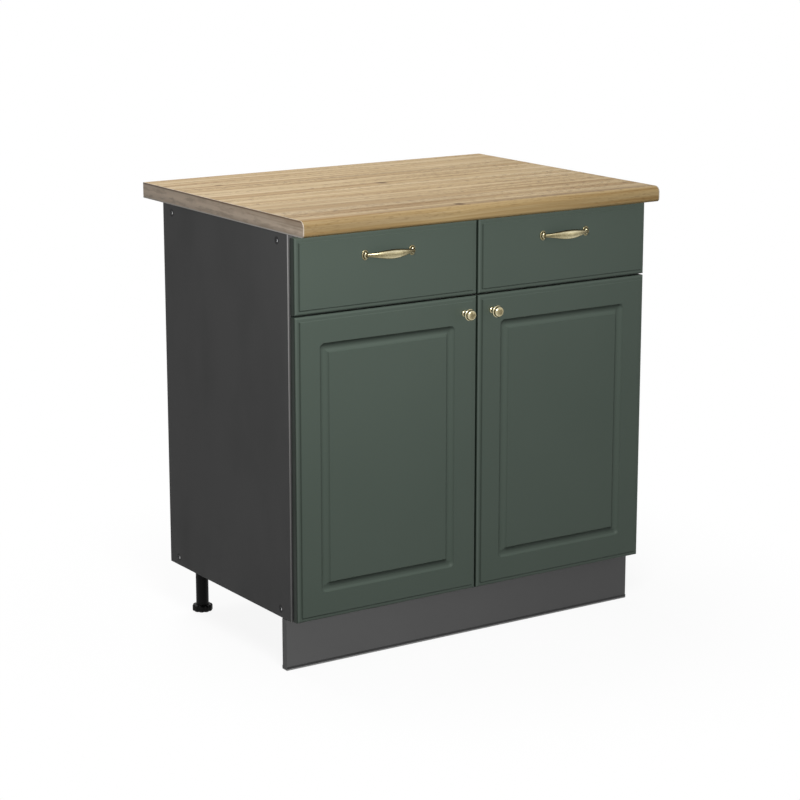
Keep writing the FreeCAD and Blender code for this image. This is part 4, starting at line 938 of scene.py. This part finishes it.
def ended(start, stop, ease):
    """Stations and insets that round off both ends of a strip by the ease."""
    turn = np.linspace(0, math.pi / 2, 5)
    inset = ease * (1 - np.sin(turn))
    lead = start + ease * (1 - np.cos(turn))
    tail = stop - ease * (1 - np.cos(turn))
    return np.r_[lead, tail[::-1]], np.r_[inset, inset[::-1]]


low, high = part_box("plinth")
plinth_outline = eased([(low.y, low.z), (high.y, low.z), (high.y, high.z), (low.y, high.z)], PLINTH_EASE,
                       STRIP_STEPS)
plinth = carried(plinth_outline, *ended(low.x, high.x, PLINTH_END), "x")
plinth_pieces = [make_piece("plinth_face", [plinth], "carcass", "plinth_board", ["plinth"], 50)]

low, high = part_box("plinth_seal")
front, back, floor_top = low.y + SEAL_WALL, high.y - SEAL_WALL, low.z + SEAL_FLOOR
seal_outline = eased([(low.y, low.z), (high.y, low.z), (high.y, high.z), (back, high.z), (back, floor_top),
                      (front, floor_top), (front, high.z), (low.y, high.z)], SEAL_EASE, STRIP_STEPS)
seal = carried(seal_outline, [low.x, high.x], [0, 0], "x")
plinth_pieces.append(make_piece("plinth_strip", [seal], "carcass", "grey_seal", ["plinth_seal"], 40))

low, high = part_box("side_lippings")
inner = abs(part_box("side_left")[1].x)
strips = []
for sign in (-1, 1):
    left, right = sorted((sign * inner, sign * high.x))
    corners = [(left, low.y), (right, low.y), (right, high.y), (left, high.y)]
    outline = eased(corners, LIPPING_EASE, STRIP_STEPS)
    strips.append(carried(outline, *ended(low.z, high.z, LIPPING_END), "z"))
make_piece("lipping_strips", strips, "carcass", "pale_lipping", ["side_lippings"], 50)

# %% [markdown]
# ## Floor, light and camera
# The photograph is a studio picture on white. The floor is white for the camera and for reflections but still
# takes a soft shadow close to the cabinet; far away it is plain white, so that no horizon shows.

# %% Floor
FLOOR_HALF, FLOOR_DARK, PLAIN_FROM, PLAIN_TO, PLAIN_NEAR = 30, 0.16, 0.45, 1.0, 0.91


def seen_directly(tree):
    """1 for rays of the camera, reflections and clear pieces; 0 for the rays that light the cabinet."""
    path = put(tree, "ShaderNodeLightPath").outputs
    first = reckon(tree, "MAXIMUM", path["Is Camera Ray"], path["Is Glossy Ray"])
    return reckon(tree, "MAXIMUM", first, path["Is Transmission Ray"])


mesh = bpy.data.meshes.new("floor")
corners = np.array([(-1, -1, 0), (1, -1, 0), (1, 1, 0), (-1, 1, 0)]) * FLOOR_HALF
mesh.from_pydata(corners.tolist(), [], [(0, 1, 2, 3)])
floor = add_object("floor", mesh)
material = bpy.data.materials.new("studio floor")
material.use_nodes = True
tree = material.node_tree
tree.nodes.remove(tree.nodes["Principled BSDF"])
seen = seen_directly(tree)
far = length(tree, on_piece(tree))
plain = spread(tree, far, PLAIN_FROM, PLAIN_TO, PLAIN_NEAR, 1.0, "SMOOTHSTEP")
matt = put(tree, "ShaderNodeBsdfDiffuse", {"Color": blended(tree, seen, (*grey(FLOOR_DARK), 1), grey(1.0))})
white = put(tree, "ShaderNodeEmission", {"Color": (1, 1, 1, 1), "Strength": 1.0})
share = times(tree, seen, plain)
either = put(tree, "ShaderNodeMixShader", {0: share, 1: matt.outputs[0], 2: white.outputs[0]})
feed(tree.nodes["Material Output"], "Surface", either.outputs[0])
mesh.materials.append(material)
print("floor laid,", 2 * FLOOR_HALF, "m wide")

# %% [markdown]
# A lamp stands high at the front left, another hangs behind and above the worktop and a weak one stands at
# the front right; an even sky fills the rest. Their sum is about one where the cabinet is best lit, so a
# colour looks the way it is written.

# %% Light
SKY = 0.17
world = bpy.data.worlds.new("studio")
bpy.context.scene.world = world
world.use_nodes = True
sky = world.node_tree.nodes["Background"]
sky.inputs["Color"].default_value = (1, 1, 1, 1)
feed(sky, "Strength", spread(world.node_tree, seen_directly(world.node_tree), 0, 1, SKY, 1.0))


def add_lamp(name, place, aim, size, power):
    """A round lamp at a place, turned to its aim."""
    lamp = bpy.data.lights.new(name, "AREA")
    lamp.shape = "DISK"
    lamp.size = size
    lamp.energy = power
    holder = add_object(name, lamp)
    holder.location = place
    holder.rotation_euler = (Vector(aim) - Vector(place)).to_track_quat("-Z", "Y").to_euler()
    return holder


key = add_lamp("key", (-0.9, -1.65, 1.95), (-0.1, -0.2, 0.5), 0.9, 43)
add_lamp("above", (-0.1, 1.4, 2.25), (-0.05, 0.1, 0.85), 1.4, 32)
add_lamp("fill", (1.9, -2.4, 1.2), (0.1, -0.2, 0.4), 1.5, 3)
low_lamp = add_lamp("low", (-1.3, -2.3, 0.35), (0.0, -0.22, 0.05), 0.8, 36)
print("lamps:", len(bpy.data.lights))

# %% [markdown]
# The worktop's overhang would put the drawers in the shade of the high lamp, and a lower lamp would flatten
# the milled grooves, so shadow linking leaves the worktop out of this one lamp's shadows, and the handles and
# knobs as well. The plinth stands back under the doors and is lit by a low lamp of its own instead.

# %% Light linking
def linked(name, pieces, state):
    """A collection for a lamp's linking, with every piece in the same state."""
    collection = bpy.data.collections.new(name)
    for piece in pieces:
        collection.objects.link(piece)
    for member in collection.collection_objects:
        member.light_linking.link_state = state
    return collection


clear_pieces = worktop_pieces + brass_pieces
key.light_linking.blocker_collection = linked("no shadow from the key", clear_pieces, "EXCLUDE")
key.light_linking.receiver_collection = linked("not lit by the key", plinth_pieces, "EXCLUDE")
low_lamp.light_linking.receiver_collection = linked("lit by the low lamp", plinth_pieces, "INCLUDE")
print("pieces without a key shadow:", len(clear_pieces), "lit low:", len(plinth_pieces))

# %% [markdown]
# The camera stands at the front left, a little above the worktop, with a long lens. Its place was worked out
# from the corners of the cabinet in the photograph.

# %% Camera
FOCAL_PIXELS, PICTURE_PIXELS, SENSOR = 2379.7, 800, 36
eye = Vector((-2.5370, -3.8215, 1.4907))
pitch, yaw = math.radians(13.133), math.radians(33.583)
ahead = Vector((math.sin(yaw) * math.cos(pitch), math.cos(yaw) * math.cos(pitch), -math.sin(pitch)))
lens = bpy.data.cameras.new("camera")
lens.sensor_width = SENSOR
lens.lens = FOCAL_PIXELS / PICTURE_PIXELS * SENSOR
camera = add_object("camera", lens)
camera.location = eye
camera.rotation_euler = ahead.to_track_quat("-Z", "Y").to_euler()
bpy.context.scene.camera = camera
bpy.context.scene.view_settings.view_transform = "Standard"
print("camera at", tuple(round(v, 3) for v in eye), "lens", round(lens.lens, 1), "mm")
